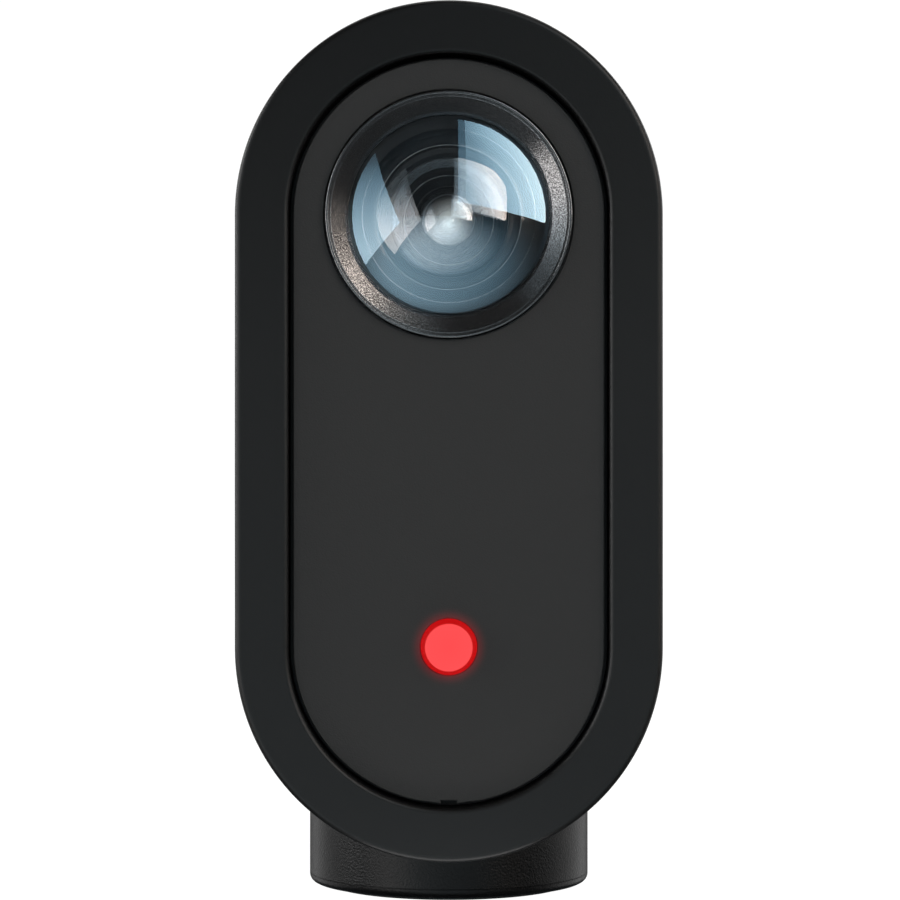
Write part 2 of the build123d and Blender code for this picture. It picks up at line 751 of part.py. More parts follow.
# ---------------------------------------------------------------- rear plate with its controls and ports
cap_radius = 4.0
cap_hole_radius = 4.12
card_z = 42.0
card_height = 11.0
jack_z = 28.0
jack_bore = 1.8
jack_collar = 2.9
usb_z = 19.0
usb_length = 8.94
usb_width = 3.26
with BuildPart() as rear_plate:
    slot_ring(rear_plate_back_y, rear_plate_y, plate_radius)
    rod(0, button_z, cap_hole_radius, rear_plate_back_y, rear_plate_y, Mode.SUBTRACT)
    rods([(0, z) for z in status_light_spots], 0.78, rear_plate_back_y, rear_plate_y, Mode.SUBTRACT)
    rod(0, reset_z, 0.55, rear_plate_back_y, rear_plate_y, Mode.SUBTRACT)
    rod(0, jack_z, jack_collar + 0.06, rear_plate_back_y, rear_plate_y, Mode.SUBTRACT)
    with BuildSketch(depth_plane(rear_plate_y)):
        with Locations((0, card_z)):
            RectangleRounded(1.7, card_height + 0.8, 0.4)
        with Locations((0, usb_z)):
            SlotOverall(usb_length + 0.3, usb_width + 0.3, rotation=90)
    extrude(amount=plate_thickness, mode=Mode.SUBTRACT)
    plate_face = rear_plate.faces().filter_by(Axis.Y).sort_by(Axis.Y)[-1]
    chamfer(plate_face.outer_wire().edges(), 0.1)
save(rear_plate, "rear_plate")

with BuildPart() as rear_gasket:
    slot_ring(rear_ledge_y, rear_plate_back_y, plate_radius - 0.1, ledge_radius + 0.1)
save(rear_gasket, "rear_gasket")

plunger_tip_y = 39.25
cap_face_y = rear_plate_y + 0.25
with BuildPart() as power_button:
    turned(
        [
            (0, plunger_tip_y),
            (1.5, plunger_tip_y),
            (1.5, 40.1),
            (cap_radius + 0.7, 40.1),
            (cap_radius + 0.7, rear_plate_back_y - 0.06),
            (cap_radius, rear_plate_back_y - 0.06),
            (cap_radius, cap_face_y - 0.25),
            (cap_radius - 0.25, cap_face_y),
            (0, cap_face_y - 0.15),
        ]
    )
save(power_button, "power_button")

with BuildPart() as power_plunger:
    rod(0, button_z, 0.95, switch_floor_y + 0.7, plunger_tip_y)
save(power_plunger, "power_plunger")

with BuildPart() as reset_plunger:
    rod(0, reset_z, 0.6, switch_floor_y + 0.5, 38.9)
save(reset_plunger, "reset_plunger")

with BuildPart() as status_light_pipes:
    for z in status_light_spots:
        rod(0, z, 0.72, 37.5, rear_plate_y)
        block(-1.9, 0.7, 37.5, 38.9, z - 0.7, z + 0.7)
save(status_light_pipes, "status_light_pipes")

# Memory card: the contact end is thinner and one corner is cut, as on every small card.
card_rear_y = rear_plate_y + 0.55
card_front_y = card_rear_y - 15.0
socket_front_y = 26.4
socket_rear_y = 40.6
with BuildPart() as memory_card:
    with BuildSketch(Plane.YZ.offset(-0.35)):
        with BuildLine():
            Polyline(
                (card_front_y, card_z - card_height / 2 + 1.2),
                (card_front_y + 1.0, card_z - card_height / 2),
                (card_rear_y, card_z - card_height / 2),
                (card_rear_y, card_z + card_height / 2),
                (card_front_y, card_z + card_height / 2),
                close=True,
            )
        make_face()
    extrude(amount=0.7)
    block(0.35, 0.6, card_rear_y - 1.6, card_rear_y, card_z - card_height / 2, card_z + card_height / 2)
save(memory_card, "memory_card")

with BuildPart() as card_socket:
    socket_low_z = card_z - 6.9
    socket_high_z = card_z + 6.9
    block(main_board_inner_x, 0.95, socket_front_y, socket_rear_y, socket_low_z, socket_high_z)
    block(-0.45, 0.7, socket_front_y + 0.8, socket_rear_y, card_z - 5.6, card_z + 5.6, mode=Mode.SUBTRACT)
save(card_socket, "card_socket")

jack_front_y = 29.2
with BuildPart() as audio_jack:
    block(main_board_inner_x, 2.6, jack_front_y, socket_rear_y, jack_z - 3.0, jack_z + 3.0)
    rod(0, jack_z, jack_collar, socket_rear_y, rear_plate_y - 0.1)
    rod(0, jack_z, jack_bore, jack_front_y + 1.0, rear_plate_y - 0.1, Mode.SUBTRACT)
    jack_mouth = audio_jack.faces().filter_by(Axis.Y).sort_by(Axis.Y)[-1]
    chamfer(jack_mouth.inner_wires()[0].edges(), 0.2)
save(audio_jack, "audio_jack")

usb_front_y = 34.8
usb_mouth_y = rear_plate_y - 0.2
usb_shell = 0.3
with BuildPart() as usb_port:
    with BuildSketch(depth_plane(usb_mouth_y)):
        with Locations((0, usb_z)):
            SlotOverall(usb_length, usb_width, rotation=90)
    extrude(amount=usb_mouth_y - usb_front_y)
    for z in (usb_z - 3.0, usb_z + 3.0):
        block(main_board_inner_x, 0, usb_front_y, usb_front_y + 2.0, z - 0.8, z + 0.8)
    with BuildSketch(depth_plane(usb_mouth_y)):
        with Locations((0, usb_z)):
            SlotOverall(usb_length - 2 * usb_shell, usb_width - 2 * usb_shell, rotation=90)
    extrude(amount=usb_mouth_y - usb_front_y - 1.2, mode=Mode.SUBTRACT)
    block(-0.35, 0.35, usb_front_y + 1.2, usb_mouth_y - 0.8, usb_z - 3.35, usb_z + 3.35)
save(usb_port, "usb_port")

# ---------------------------------------------------------------- base
foot_clearance = 0.3  # the plastic stands this far off the table, on the rubber foot
pad_recess_z = 1.0
pad_radius = 12.0
pad_inner_radius = 5.2
insert_radius = 4.5
insert_low_z = 0.6
insert_high_z = 6.9
base_head_radius = 2.2
base_head_top_z = 2.4
with BuildPart() as stand_base:
    post(0, 0, base_radius, foot_clearance, low_arc_z - 6)
    with BuildSketch(Plane.XZ):
        body_slot(end_radius)
    extrude(amount=base_radius + 1, both=True, mode=Mode.SUBTRACT)
    bottom_face = stand_base.faces().sort_by(Axis.Z)[0]
    fillet(bottom_face.edges(), 0.8)
    post(0, 0, pad_radius + 0.05, foot_clearance, pad_recess_z, Mode.SUBTRACT)
    post(0, 0, pad_inner_radius - 0.05, insert_low_z, pad_recess_z)
    post(0, 0, insert_radius, insert_low_z, insert_high_z, Mode.SUBTRACT)
    for y in (-base_screw_y, base_screw_y):
        post(0, y, base_head_radius + 0.2, pad_recess_z, base_head_top_z, Mode.SUBTRACT)
        post(0, y, base_screw_hole, base_head_top_z, base_drop + 2, Mode.SUBTRACT)
save(stand_base, "stand_base")

with BuildPart() as thread_insert:
    post(0, 0, insert_radius, insert_low_z, insert_high_z)
    post(0, 0, tripod_radius, insert_low_z, insert_high_z, Mode.SUBTRACT)
    insert_mouth = thread_insert.faces().sort_by(Axis.Z)[0]
    chamfer(insert_mouth.inner_wires()[0].edges(), 0.3)
save(thread_insert, "thread_insert")

with BuildPart() as base_screws:
    for y in (-base_screw_y, base_screw_y):
        post(0, y, base_head_radius, pad_recess_z + 0.05, base_head_top_z)
        post(0, y, 1.25, base_head_top_z, 13.0)
        with BuildSketch(Plane.XY.offset(pad_recess_z + 0.05)):
            with Locations((0, y)):
                RegularPolygon(1.1, 6)
        extrude(amount=0.7, mode=Mode.SUBTRACT)
save(base_screws, "base_screws")

with BuildPart() as foot_pad:
    post(0, 0, pad_radius, 0, pad_recess_z)
    post(0, 0, pad_inner_radius, 0, pad_recess_z, Mode.SUBTRACT)
    pad_bottom = foot_pad.faces().sort_by(Axis.Z)[0]
    chamfer(pad_bottom.edges(), 0.15)
save(foot_pad, "foot_pad")
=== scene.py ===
"""Looks of a small upright streaming camera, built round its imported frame.

Metres, with X to the right, Y from the lens face to the back and Z up. The body is a slot outline
carried from front to back, so most shells here are a profile of (radius, depth) carried round the
slot's two arc centres, and the lens parts are the same thing with both centres in one place.
"""

import json
from math import pi, radians

import bmesh
import bpy
import numpy as np
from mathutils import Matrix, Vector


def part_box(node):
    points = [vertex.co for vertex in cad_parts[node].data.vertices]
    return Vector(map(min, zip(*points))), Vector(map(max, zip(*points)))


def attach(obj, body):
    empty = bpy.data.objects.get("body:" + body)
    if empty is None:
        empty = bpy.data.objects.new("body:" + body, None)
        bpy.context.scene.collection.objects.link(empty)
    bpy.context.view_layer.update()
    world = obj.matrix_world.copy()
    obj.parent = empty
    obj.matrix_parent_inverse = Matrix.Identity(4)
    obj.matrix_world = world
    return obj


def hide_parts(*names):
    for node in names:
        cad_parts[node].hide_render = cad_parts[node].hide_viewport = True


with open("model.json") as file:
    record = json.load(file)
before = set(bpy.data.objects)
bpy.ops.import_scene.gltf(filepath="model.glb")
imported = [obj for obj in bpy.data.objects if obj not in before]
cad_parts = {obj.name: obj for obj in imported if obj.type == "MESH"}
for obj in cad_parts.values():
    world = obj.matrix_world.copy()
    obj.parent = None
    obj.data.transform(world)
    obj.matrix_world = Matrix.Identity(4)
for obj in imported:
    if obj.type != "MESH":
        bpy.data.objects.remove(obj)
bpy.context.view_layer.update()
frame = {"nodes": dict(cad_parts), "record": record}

MM = 0.001

# ------------ places read from the frame


def limits(node):
    """Lowest and highest corner of a node as two arrays."""
    low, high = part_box(node)
    return np.array(low), np.array(high)


def depths(node):
    """Depth at which a node starts and depth at which it ends."""
    low, high = limits(node)
    return low[1], high[1]


def side_reach(node):
    """How far a node reaches to the side of the middle plane."""
    return limits(node)[1][0]


def middle_z(node):
    """Height of a node's middle."""
    low, high = limits(node)
    return (low[2] + high[2]) / 2


frame_low, frame_high = limits("front_frame")
END_RADIUS = (frame_high[0] - frame_low[0]) / 2
HIGH_Z = frame_high[2] - END_RADIUS
LOW_Z = frame_low[2] + END_RADIUS
FRONT_Y, REAR_Y = frame_low[1], depths("rear_frame")[1]
SLEEVE_FRONT_Y, SLEEVE_REAR_Y = depths("body_sleeve")
PLATE_RADIUS = side_reach("front_plate")
PLATE_Y, PLATE_BACK_Y = depths("front_plate")
REAR_PLATE_BACK_Y, REAR_PLATE_Y = depths("rear_plate")
LIGHT_Y, LIGHT_BACK_Y = depths("record_light")
LIGHT_Z = middle_z("record_light")
RING_FLANGE = side_reach("lens_ring")
RING_Y, RING_BACK_Y = depths("lens_ring")
GLASS_EDGE = side_reach("front_lens")
GLASS_Y, GLASS_BACK_Y = depths("front_lens")
BARREL_Y, BARREL_BACK_Y = depths("lens_barrel")

# ------------ shader building blocks


def set_inputs(node, **values):
    """Sets inputs by name, or by place as i0, i1 and so on; a socket given as a value is linked.

    A colour is given as (r, g, b).
    """
    for key, value in values.items():
        by_place = key[0] == "i" and key[1:].isdigit()
        socket = node.inputs[int(key[1:]) if by_place else key.replace("_", " ")]
        if isinstance(value, bpy.types.NodeSocket):
            node.id_data.links.new(value, socket)
        else:
            socket.default_value = (*value[:3], 1.0) if socket.type == "RGBA" else value


def add(tree, kind, settings=None, **inputs):
    """Shader node of a kind with its settings and its inputs."""
    node = tree.nodes.new("ShaderNode" + kind)
    for key, value in (settings or {}).items():
        setattr(node, key, value)
    set_inputs(node, **inputs)
    return node


def maths(tree, operation, first, second=0.0, third=0.0):
    """Result socket of a Math node."""
    return add(tree, "Math", {"operation": operation}, i0=first, i1=second, i2=third).outputs[0]


def vector_maths(tree, operation, first, **inputs):
    """Vector Math node."""
    return add(tree, "VectorMath", {"operation": operation}, i0=first, **inputs)


def mixed(tree, factor, first, second):
    """Result socket of a colour mix."""
    return add(tree, "Mix", {"data_type": "RGBA"}, i0=factor, i6=first, i7=second).outputs[2]


def ramp(tree, value, low, high, start=0.0, end=1.0):
    """Value remapped from low..high to start..end, clamped."""
    return add(tree, "MapRange", i0=value, i1=low, i2=high, i3=start, i4=end).outputs[0]


def place_on(tree):
    """Place on the object, as a socket."""
    return add(tree, "TexCoord").outputs["Object"]


def along_axis(tree, place, axis):
    """One coordinate of a place, as a socket."""
    return add(tree, "SeparateXYZ", Vector=place).outputs[axis]


def radius_about(tree, place, centre_z):
    """Distance from a lengthwise axis at a height, as a socket."""
    across = along_axis(tree, place, "X")
    rise = maths(tree, "SUBTRACT", along_axis(tree, place, "Z"), centre_z)
    square = maths(tree, "MULTIPLY_ADD", across, across, maths(tree, "MULTIPLY", rise, rise))
    return maths(tree, "SQRT", square)


def relief(tree, height, strength, distance):
    """Normal socket of a bump."""
    return add(tree, "Bump", Strength=strength, Distance=distance, Height=height).outputs["Normal"]


def grain_group(name, defaults):
    """Empty shader group of a grain: its tree, the node of what it is given and that of what it results in.

    It is given a colour and the floats of the defaults; it results in a colour, a roughness and a height.
    """
    group = bpy.data.node_groups.new(name, "ShaderNodeTree")
    for direction, floats in (("INPUT", defaults), ("OUTPUT", {"Roughness": 0.5, "Height": 0.0})):
        group.interface.new_socket("Color", in_out=direction, socket_type="NodeSocketColor")
        for socket_name, value in floats.items():
            socket = group.interface.new_socket(socket_name, in_out=direction, socket_type="NodeSocketFloat")
            socket.default_value = value
    return group, group.nodes.new("NodeGroupInput"), group.nodes.new("NodeGroupOutput")


def feed_result(tree, given, result, tone, roughness_share, height):
    """Feeds a grain's results: colour and roughness swing about the given ones as the tone does about 0.5."""
    swing = maths(tree, "MULTIPLY", maths(tree, "SUBTRACT", tone, 0.5), given.outputs["Contrast"])
    lift = maths(tree, "MULTIPLY_ADD", swing, 2.0, 1.0)
    shaded = vector_maths(tree, "SCALE", given.outputs["Color"], i3=lift)
    rough = maths(tree, "MULTIPLY_ADD", swing, roughness_share, given.outputs["Roughness"])
    set_inputs(result, Color=shaded.outputs[0], Roughness=rough, Height=height)


def moulded_grain_group():
    """Spark-eroded moulding texture: a fine cellular pebble over a broad, slow change of tone."""
    tree, given, result = grain_group("moulded_grain", {"Size": 0.2, "Roughness": 0.5, "Contrast": 0.1})
    place = place_on(tree)
    per_metre = maths(tree, "DIVIDE", 1 / MM, given.outputs["Size"])
    pebble = add(tree, "TexNoise", Vector=place, Scale=per_metre, Detail=3.0, Roughness=0.6).outputs["Fac"]
    cells = add(tree, "TexVoronoi", Vector=place, Scale=per_metre)
    broad = add(tree, "TexNoise", Vector=place, Scale=90.0, Detail=2.0)
    tone = maths(tree, "MULTIPLY_ADD", pebble, 0.7, maths(tree, "MULTIPLY", broad.outputs["Fac"], 0.3))
    height = maths(tree, "MULTIPLY_ADD", cells.outputs["Distance"], 0.5, pebble)
    feed_result(tree, given, result, tone, 0.8, height)
    return tree


def turned_lines_group():
    """Fine machining lines round the lens axis: noise over the sum of radius and depth."""
    tree, given, result = grain_group("turned_lines", {"Roughness": 0.3, "Pitch": 0.05, "Contrast": 0.1})
    place = place_on(tree)
    reach = maths(tree, "ADD", radius_about(tree, place, HIGH_Z), along_axis(tree, place, "Y"))
    lines = maths(tree, "DIVIDE", maths(tree, "DIVIDE", reach, MM), given.outputs["Pitch"])
    one_way = {"noise_dimensions": "1D"}
    noise = add(tree, "TexNoise", one_way, W=lines, Scale=1.0, Detail=2.0).outputs["Fac"]
    feed_result(tree, given, result, noise, 1.0, noise)
    return tree


def empty_material(name):
    """Material with nothing but an output, and its tree and that output."""
    material = bpy.data.materials.new(name)
    material.use_nodes = True
    material.node_tree.nodes.clear()
    return material, material.node_tree, add(material.node_tree, "OutputMaterial")


def shaded_material(name, **values):
    """Principled material with its values, its tree and its shader."""
    material, tree, output = empty_material(name)
    shader = add(tree, "BsdfPrincipled", **values)
    set_inputs(output, Surface=shader.outputs["BSDF"])
    return material, tree, shader


def node_of(material, kind):
    """A material's tree and its node of a kind."""
    tree = material.node_tree
    return tree, [node for node in tree.nodes if node.bl_idname == "ShaderNode" + kind][0]


def grey(value, blue=0.0):
    """Neutral colour, a little bluer if asked."""
    return (value, value, value * (1 + blue))


GRAIN = moulded_grain_group()
LINES = turned_lines_group()


def textured(name, colour, bump, depth, specular=0.5, coat=0.0, metallic=0.0, group=GRAIN, **values):
    """Principled material whose colour, roughness and bump come from a grain group.

    The depth is in mm, and the values are the group's own, where they differ from its defaults.
    """
    plain = {"Specular_IOR_Level": specular, "Coat_Weight": coat, "Metallic": metallic}
    material, tree, shader = shaded_material(name, **plain)
    grain = add(tree, "Group", {"node_tree": group}, Color=colour, **values)
    normal = relief(tree, grain.outputs["Height"], bump, depth * MM)
    set_inputs(shader, Base_Color=grain.outputs["Color"], Roughness=grain.outputs["Roughness"], Normal=normal)
    return material


# ------------ materials


def metal(name, colour, roughness, pitch=0.06, contrast=0.12):
    """Bare metal with fine machining lines."""
    values = {"Roughness": roughness, "Pitch": pitch, "Contrast": contrast}
    return textured(name, colour, 0.15, 0.01, metallic=1.0, group=LINES, **values)


def ring_material():
    """Bead-blasted, black anodised metal: tiny facets that sparkle in the light."""
    material, tree, shader = shaded_material("ring_blasted", Metallic=0.93, Specular_IOR_Level=0.2)
    place = place_on(tree)
    specks = add(tree, "TexNoise", Vector=place, Scale=10500.0, Detail=1.0, Roughness=0.6)
    facets = add(tree, "TexVoronoi", Vector=place, Scale=12000.0)
    height = maths(tree, "ADD", facets.outputs["Distance"], specks.outputs["Fac"])
    set_inputs(
        shader,
        Base_Color=mixed(tree, ramp(tree, specks.outputs["Fac"], 0.35, 0.65), grey(0.022), grey(0.115, 0.02)),
        Roughness=ramp(tree, specks.outputs["Fac"], 0.3, 0.7, 0.22, 0.13),
        Normal=relief(tree, height, 0.4, 0.01 * MM),
    )
    return material


def glass_material(name, tint, index, **values):
    """Clear polished glass with a coating that tints what it reflects."""
    values.update(Transmission_Weight=1.0, Roughness=0.0, IOR=index, Base_Color=grey(1.0), Specular_Tint=tint)
    return shaded_material(name, **values)[0]


def board_material():
    """Circuit board: green mask over copper tracks, with bright pads here and there."""
    material, tree, shader = shaded_material("circuit_board")
    place = place_on(tree)
    square, diamond = {"distance": "CHEBYCHEV"}, {"distance": "MANHATTAN", "feature": "F2"}
    cells = add(tree, "TexVoronoi", square, Vector=place, Scale=620.0)
    second = add(tree, "TexVoronoi", diamond, Vector=place, Scale=260.0)
    off_track = maths(tree, "ABSOLUTE", maths(tree, "SUBTRACT", second.outputs["Distance"], 0.7))
    track = ramp(tree, off_track, 0.02, 0.05, 1.0, 0.0)
    pad = ramp(tree, cells.outputs["Distance"], 0.1, 0.13, 1.0, 0.0)
    mask = mixed(tree, track, (0.004, 0.045, 0.022), (0.012, 0.12, 0.055))
    set_inputs(
        shader,
        Base_Color=mixed(tree, pad, mask, (0.75, 0.55, 0.22)),
        Roughness=ramp(tree, pad, 0.0, 1.0, 0.32, 0.2),
        Metallic=pad,
        Normal=relief(tree, maths(tree, "ADD", track, pad), 0.4, 0.04 * MM),
    )
    return material


def light_material():
    """Red diffuser lit from inside: bright on its face and deeper on its wall."""
    unlit = {"Base_Color": (0.08, 0.002, 0.002), "Specular_IOR_Level": 0.15}
    material, tree, shader = shaded_material("light_red", **unlit)
    radius = radius_about(tree, place_on(tree), LIGHT_Z)
    wall = ramp(tree, radius, 1.84 * MM, 1.92 * MM)
    middle = ramp(tree, radius, 0.0, 1.8 * MM)
    face = mixed(tree, middle, (1.0, 0.055, 0.06), (0.94, 0.062, 0.066))
    set_inputs(
        shader,
        Emission_Color=mixed(tree, wall, face, (0.42, 0.001, 0.002)),
        Emission_Strength=1.0,
        Roughness=ramp(tree, wall, 0.0, 1.0, 0.45, 0.25),
    )
    return material


def paint_glow_from(material, centre_z, near, far, power, colour):
    """Painted glow, as emission on a surface that is no lamp, that falls with the distance r from a
    lengthwise axis, as ((far - r) / (far - near))^power.
    """
    tree, shader = node_of(material, "BsdfPrincipled")
    fall = ramp(tree, radius_about(tree, place_on(tree), centre_z), near, far, 1.0, 0.0)
    glow = mixed(tree, maths(tree, "POWER", fall, power), (0, 0, 0), colour)
    set_inputs(shader, Emission_Color=glow, Emission_Strength=1.0)


def paint_shade_upwards(material, low_z, high_z, share):
    """Painted shade: lets a material's colour fall to a share of itself between two heights."""
    tree, shader = node_of(material, "BsdfPrincipled")
    before = shader.inputs["Base Color"].links[0].from_socket
    level = ramp(tree, along_axis(tree, place_on(tree), "Z"), low_z, high_z, 1.0, share)
    set_inputs(shader, Base_Color=vector_maths(tree, "SCALE", before, i3=level).outputs[0])


PANEL_LOOK = {"specular": 0.1, "Size": 0.14, "Roughness": 0.62, "Contrast": 0.08}
BARE_GLASS, COATED_BLUE = (0.95, 0.97, 1.0), (0.55, 0.82, 1.0)
FINISHES = {
    "housing_plastic": textured(
        "housing_satin_painted_shade", grey(0.003), 0.25, 0.02, specular=0.12, Size=0.16, Roughness=0.4, Contrast=0.06
    ),
    "panel_plastic": textured("panel_matte", grey(0.0105), 0.35, 0.03, **PANEL_LOOK),
    "base_plastic": textured(
        "base_grained", grey(0.0015, 0.05), 0.5, 0.05, specular=0.085, Roughness=0.34, Contrast=0.15
    ),
    "lens_ring_metal": ring_material(),
    "dome_glass": glass_material("dome_glass", COATED_BLUE, 1.85),
    "lens_glass": glass_material(
        "inner_glass_painted_glow", BARE_GLASS, 1.85, Coat_Weight=0.6, Coat_Roughness=0.3, Coat_IOR=1.8
    ),
    "filter_glass": textured(
        "filter_glass", (0.02, 0.05, 0.06), 0.02, 0.01, coat=1.0, Size=0.5, Roughness=0.1
    ),
    "barrel_black": textured(
        "barrel_black", (0.006, 0.009, 0.012), 0.1, 0.005, specular=0.22, group=LINES, Roughness=0.45
    ),
    "rubber_black": textured("seal_rubber", grey(0.01), 0.3, 0.03, specular=0.2, Size=0.3, Roughness=0.7),
    "foot_rubber": textured(
        "foot_rubber", grey(0.018), 0.5, 0.06, specular=0.25, Size=0.35, Roughness=0.75, Contrast=0.2
    ),
    "light_red": light_material(),
    "light_pipe_clear": textured(
        "light_pipe", (0.55, 0.57, 0.55), 0.1, 0.01, coat=0.6, Size=0.3, Roughness=0.25, Contrast=0.08
    ),
    "cap_plastic": textured("cap_satin", grey(0.02), 0.3, 0.02, specular=0.4, Size=0.14, Roughness=0.35),
    "chassis_plastic": textured("chassis_plastic", grey(0.06), 0.4, 0.04, Size=0.4, Roughness=0.6),
    "screw_steel": metal("screw_steel", (0.35, 0.35, 0.36), 0.3),
    "insert_steel": metal("insert_steel", (0.55, 0.54, 0.52), 0.28),
    "circuit_board": board_material(),
    "chip_black": textured("chip_epoxy", grey(0.018), 0.4, 0.03, Size=0.12, Roughness=0.55),
    "shield_tin": metal("shield_tin", (0.62, 0.62, 0.6), 0.35, 0.3),
    "heat_sink_metal": metal("heat_sink", (0.6, 0.61, 0.63), 0.4, 0.2),
    "thermal_pad_grey": textured("thermal_pad", (0.22, 0.26, 0.3), 0.5, 0.05, Size=0.3, Roughness=0.8),
    "flex_amber": textured(
        "flex_film", (0.42, 0.16, 0.03), 0.3, 0.02, coat=0.3, group=LINES, Pitch=0.5, Contrast=0.4
    ),
    "connector_white": textured("connector_nylon", (0.7, 0.68, 0.6), 0.2, 0.02, Size=0.3, Roughness=0.45),
    "battery_wrap": textured(
        "battery_wrap", (0.02, 0.09, 0.2), 0.2, 0.05, coat=0.5, Size=1.2, Roughness=0.3, Contrast=0.15
    ),
    "wire_red": textured("wire_sleeve", (0.5, 0.012, 0.01), 0.15, 0.02, Size=0.4, Roughness=0.4),
    "card_black": textured("card_plastic", grey(0.03), 0.25, 0.02, Size=0.15, Contrast=0.12),
    "jack_black": textured("jack_plastic", grey(0.015), 0.2, 0.02, Roughness=0.35),
    "port_steel": metal("port_steel", (0.5, 0.5, 0.5), 0.25),
}
FACE_PANEL_PAINTED_GLOW = textured("face_matte_painted_glow", grey(0.0105), 0.35, 0.03, **PANEL_LOOK)
DOME_BACK = glass_material("dome_inner_face", (0.53, 0.53, 0.54), 1.85)
SECOND_GLASS = glass_material("second_glass", (0.36, 0.42, 0.48), 1.7)
REAR_GLASS = glass_material("rear_glass", BARE_GLASS, 1.85, Coat_Weight=1.0, Coat_Roughness=0.6, Coat_IOR=2.0)
EDGE_SILVER = textured(
    "ground_edge", (0.22, 0.25, 0.27), 0.05, 0.005, metallic=0.3, group=LINES, Roughness=0.5
)
MARK = textured("mark_paint", grey(0.5), 0.2, 0.02, Contrast=0.08)
LABEL = textured("card_label", (0.09, 0.11, 0.13), 0.1, 0.01, Size=0.3, Roughness=0.35)
GOLD = metal("contact_gold", (0.85, 0.6, 0.25), 0.2)

# Painted shade: the housing's colour darkens towards the top of the body, to 0.15 of itself at the top.
paint_shade_upwards(FINISHES["housing_plastic"], HIGH_Z - 12 * MM, HIGH_Z + END_RADIUS, 0.15)
# Painted red glow on the plate round the lit disc, standing in for the light that leaks from it.
paint_glow_from(FACE_PANEL_PAINTED_GLOW, LIGHT_Z, 2.2 * MM, 3.3 * MM, 2.4, (0.13, 0.004, 0.006))
# Painted pale glow in the middle of the inner glass, standing in for the light that the stack of elements
# scatters back.
paint_glow_from(FINISHES["lens_glass"], HIGH_Z, 0.0, 2.4 * MM, 1.3, (0.27, 0.32, 0.335))

# ------------ surfaces and pieces


def surface(points, closed_rows=False, closed_columns=False):
    """Quads over a (rows, columns, 3) array of points; a closed direction is joined to its start."""
    rows, columns = points.shape[:2]
    row, column = np.meshgrid(
        np.arange(rows if closed_rows else rows - 1),
        np.arange(columns if closed_columns else columns - 1),
        indexing="ij",
    )
    next_row, next_column = (row + 1) % rows, (column + 1) % columns
    corners = (
        row * columns + column,
        row * columns + next_column,
        next_row * columns + next_column,
        next_row * columns + column,
    )
    return points.reshape(-1, 3), np.stack(corners, -1).reshape(-1, 4)


def joined(surfaces):
    """Several surfaces as one list of points and quads."""
    starts = np.cumsum([0] + [len(points) for points, _ in surfaces[:-1]])
    faces = [quads + start for (_, quads), start in zip(surfaces, starts)]
    return np.concatenate([points for points, _ in surfaces]), np.concatenate(faces)


def merge_and_turn_out(mesh, distance=0.5e-6):
    """Merges the points that surfaces share and turns every face of each closed shell outwards."""
    work = bmesh.new()
    work.from_mesh(mesh)
    bmesh.ops.remove_doubles(work, verts=work.verts, dist=distance)
    bmesh.ops.recalc_face_normals(work, faces=work.faces)
    work.to_mesh(mesh)
    work.free()


def show_smooth(mesh, sharp_angle):
    """Smooth shading, broken where faces meet at more than the sharp angle in degrees."""
    mesh.polygons.foreach_set("use_smooth", np.ones(len(mesh.polygons), bool))
    mesh.set_sharp_from_angle(angle=radians(sharp_angle))


def linked(name, data):
    """New object of some data, put in the scene."""
    made = bpy.data.objects.new(name, data)
    bpy.context.scene.collection.objects.link(made)
    return made


def placed(name, mesh, body, stands_for):
    """Object of a mesh, riding on a body in place of the node it stands for."""
    made = linked(name, mesh)
    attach(made, body)
    if stands_for:
        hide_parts(stands_for)
    return made


def piece(name, surfaces, slot, stands_for=None, materials=None, body="camera", sharp_angle=35):
    """New object from its surfaces, in its slot's finish unless materials are given."""
    points, quads = joined(surfaces)
    mesh = bpy.data.meshes.new(name)
    mesh.from_pydata(points, [], quads)
    merge_and_turn_out(mesh)
    show_smooth(mesh, sharp_angle)
    for material in materials or [FINISHES[slot]]:
        mesh.materials.append(material)
    return placed(name, mesh, body, stands_for)


def rounded(corners, closed=True, steps=5):
    """Profile of (radius, depth) points through corners given as (radius, depth, rounding in mm).

    A rounded corner becomes an arc tangent to both of its sides, and holding points just outside the
    arc's ends keep the flats flat when the shading is smooth.
    """
    count = len(corners)
    spots = np.array([corner[:2] for corner in corners], float)
    lines = []
    for index, spot in enumerate(spots):
        rounding = corners[index][2] * MM
        ends = not closed and index in (0, count - 1)
        if rounding <= 0 or ends:
            lines.append(spot[None])
            continue
        back = spots[index - 1] - spot
        ahead = spots[(index + 1) % count] - spot
        back, ahead = back / np.linalg.norm(back), ahead / np.linalg.norm(ahead)
        angle = np.arccos(np.clip(back @ ahead, -1, 1))
        reach = rounding / np.tan(angle / 2)
        middle = (back + ahead) / np.linalg.norm(back + ahead)
        centre = spot + middle * rounding / np.sin(angle / 2)
        start, end = spot + back * reach - centre, spot + ahead * reach - centre
        sweep = pi - angle
        share = np.linspace(0, 1, steps + 1)[:, None]
        arc = (np.sin((1 - share) * sweep) * start + np.sin(share * sweep) * end) / np.sin(sweep)
        hold = 0.3 * rounding
        lines += [(spot + back * (reach + hold))[None], centre + arc, (spot + ahead * (reach + hold))[None]]
    return np.concatenate(lines)


HALF_TURN = np.linspace(0, pi, 97)
TURN = np.concatenate([HALF_TURN, HALF_TURN + pi])


def round_slot(profile, high_z=HIGH_Z, low_z=LOW_Z):
    """Points of a profile carried round a slot.

    At turn a, radius r and depth y stand at (r cos a, y, c + r sin a), where c is the upper centre for
    the first half turn and the lower one for the second.
    """
    radius, depth = profile[:, :1], profile[:, 1:]
    centre = np.where(np.arange(len(TURN)) < len(HALF_TURN), high_z, low_z)
    across, up = radius * np.cos(TURN), centre + radius * np.sin(TURN)
    return np.stack([across, np.broadcast_to(depth, across.shape), up], -1)


def slot_shell(corners, steps=5):
    """Closed ring: a closed profile carried round the body's slot."""
    return surface(round_slot(rounded(corners, steps=steps)), closed_rows=True, closed_columns=True)


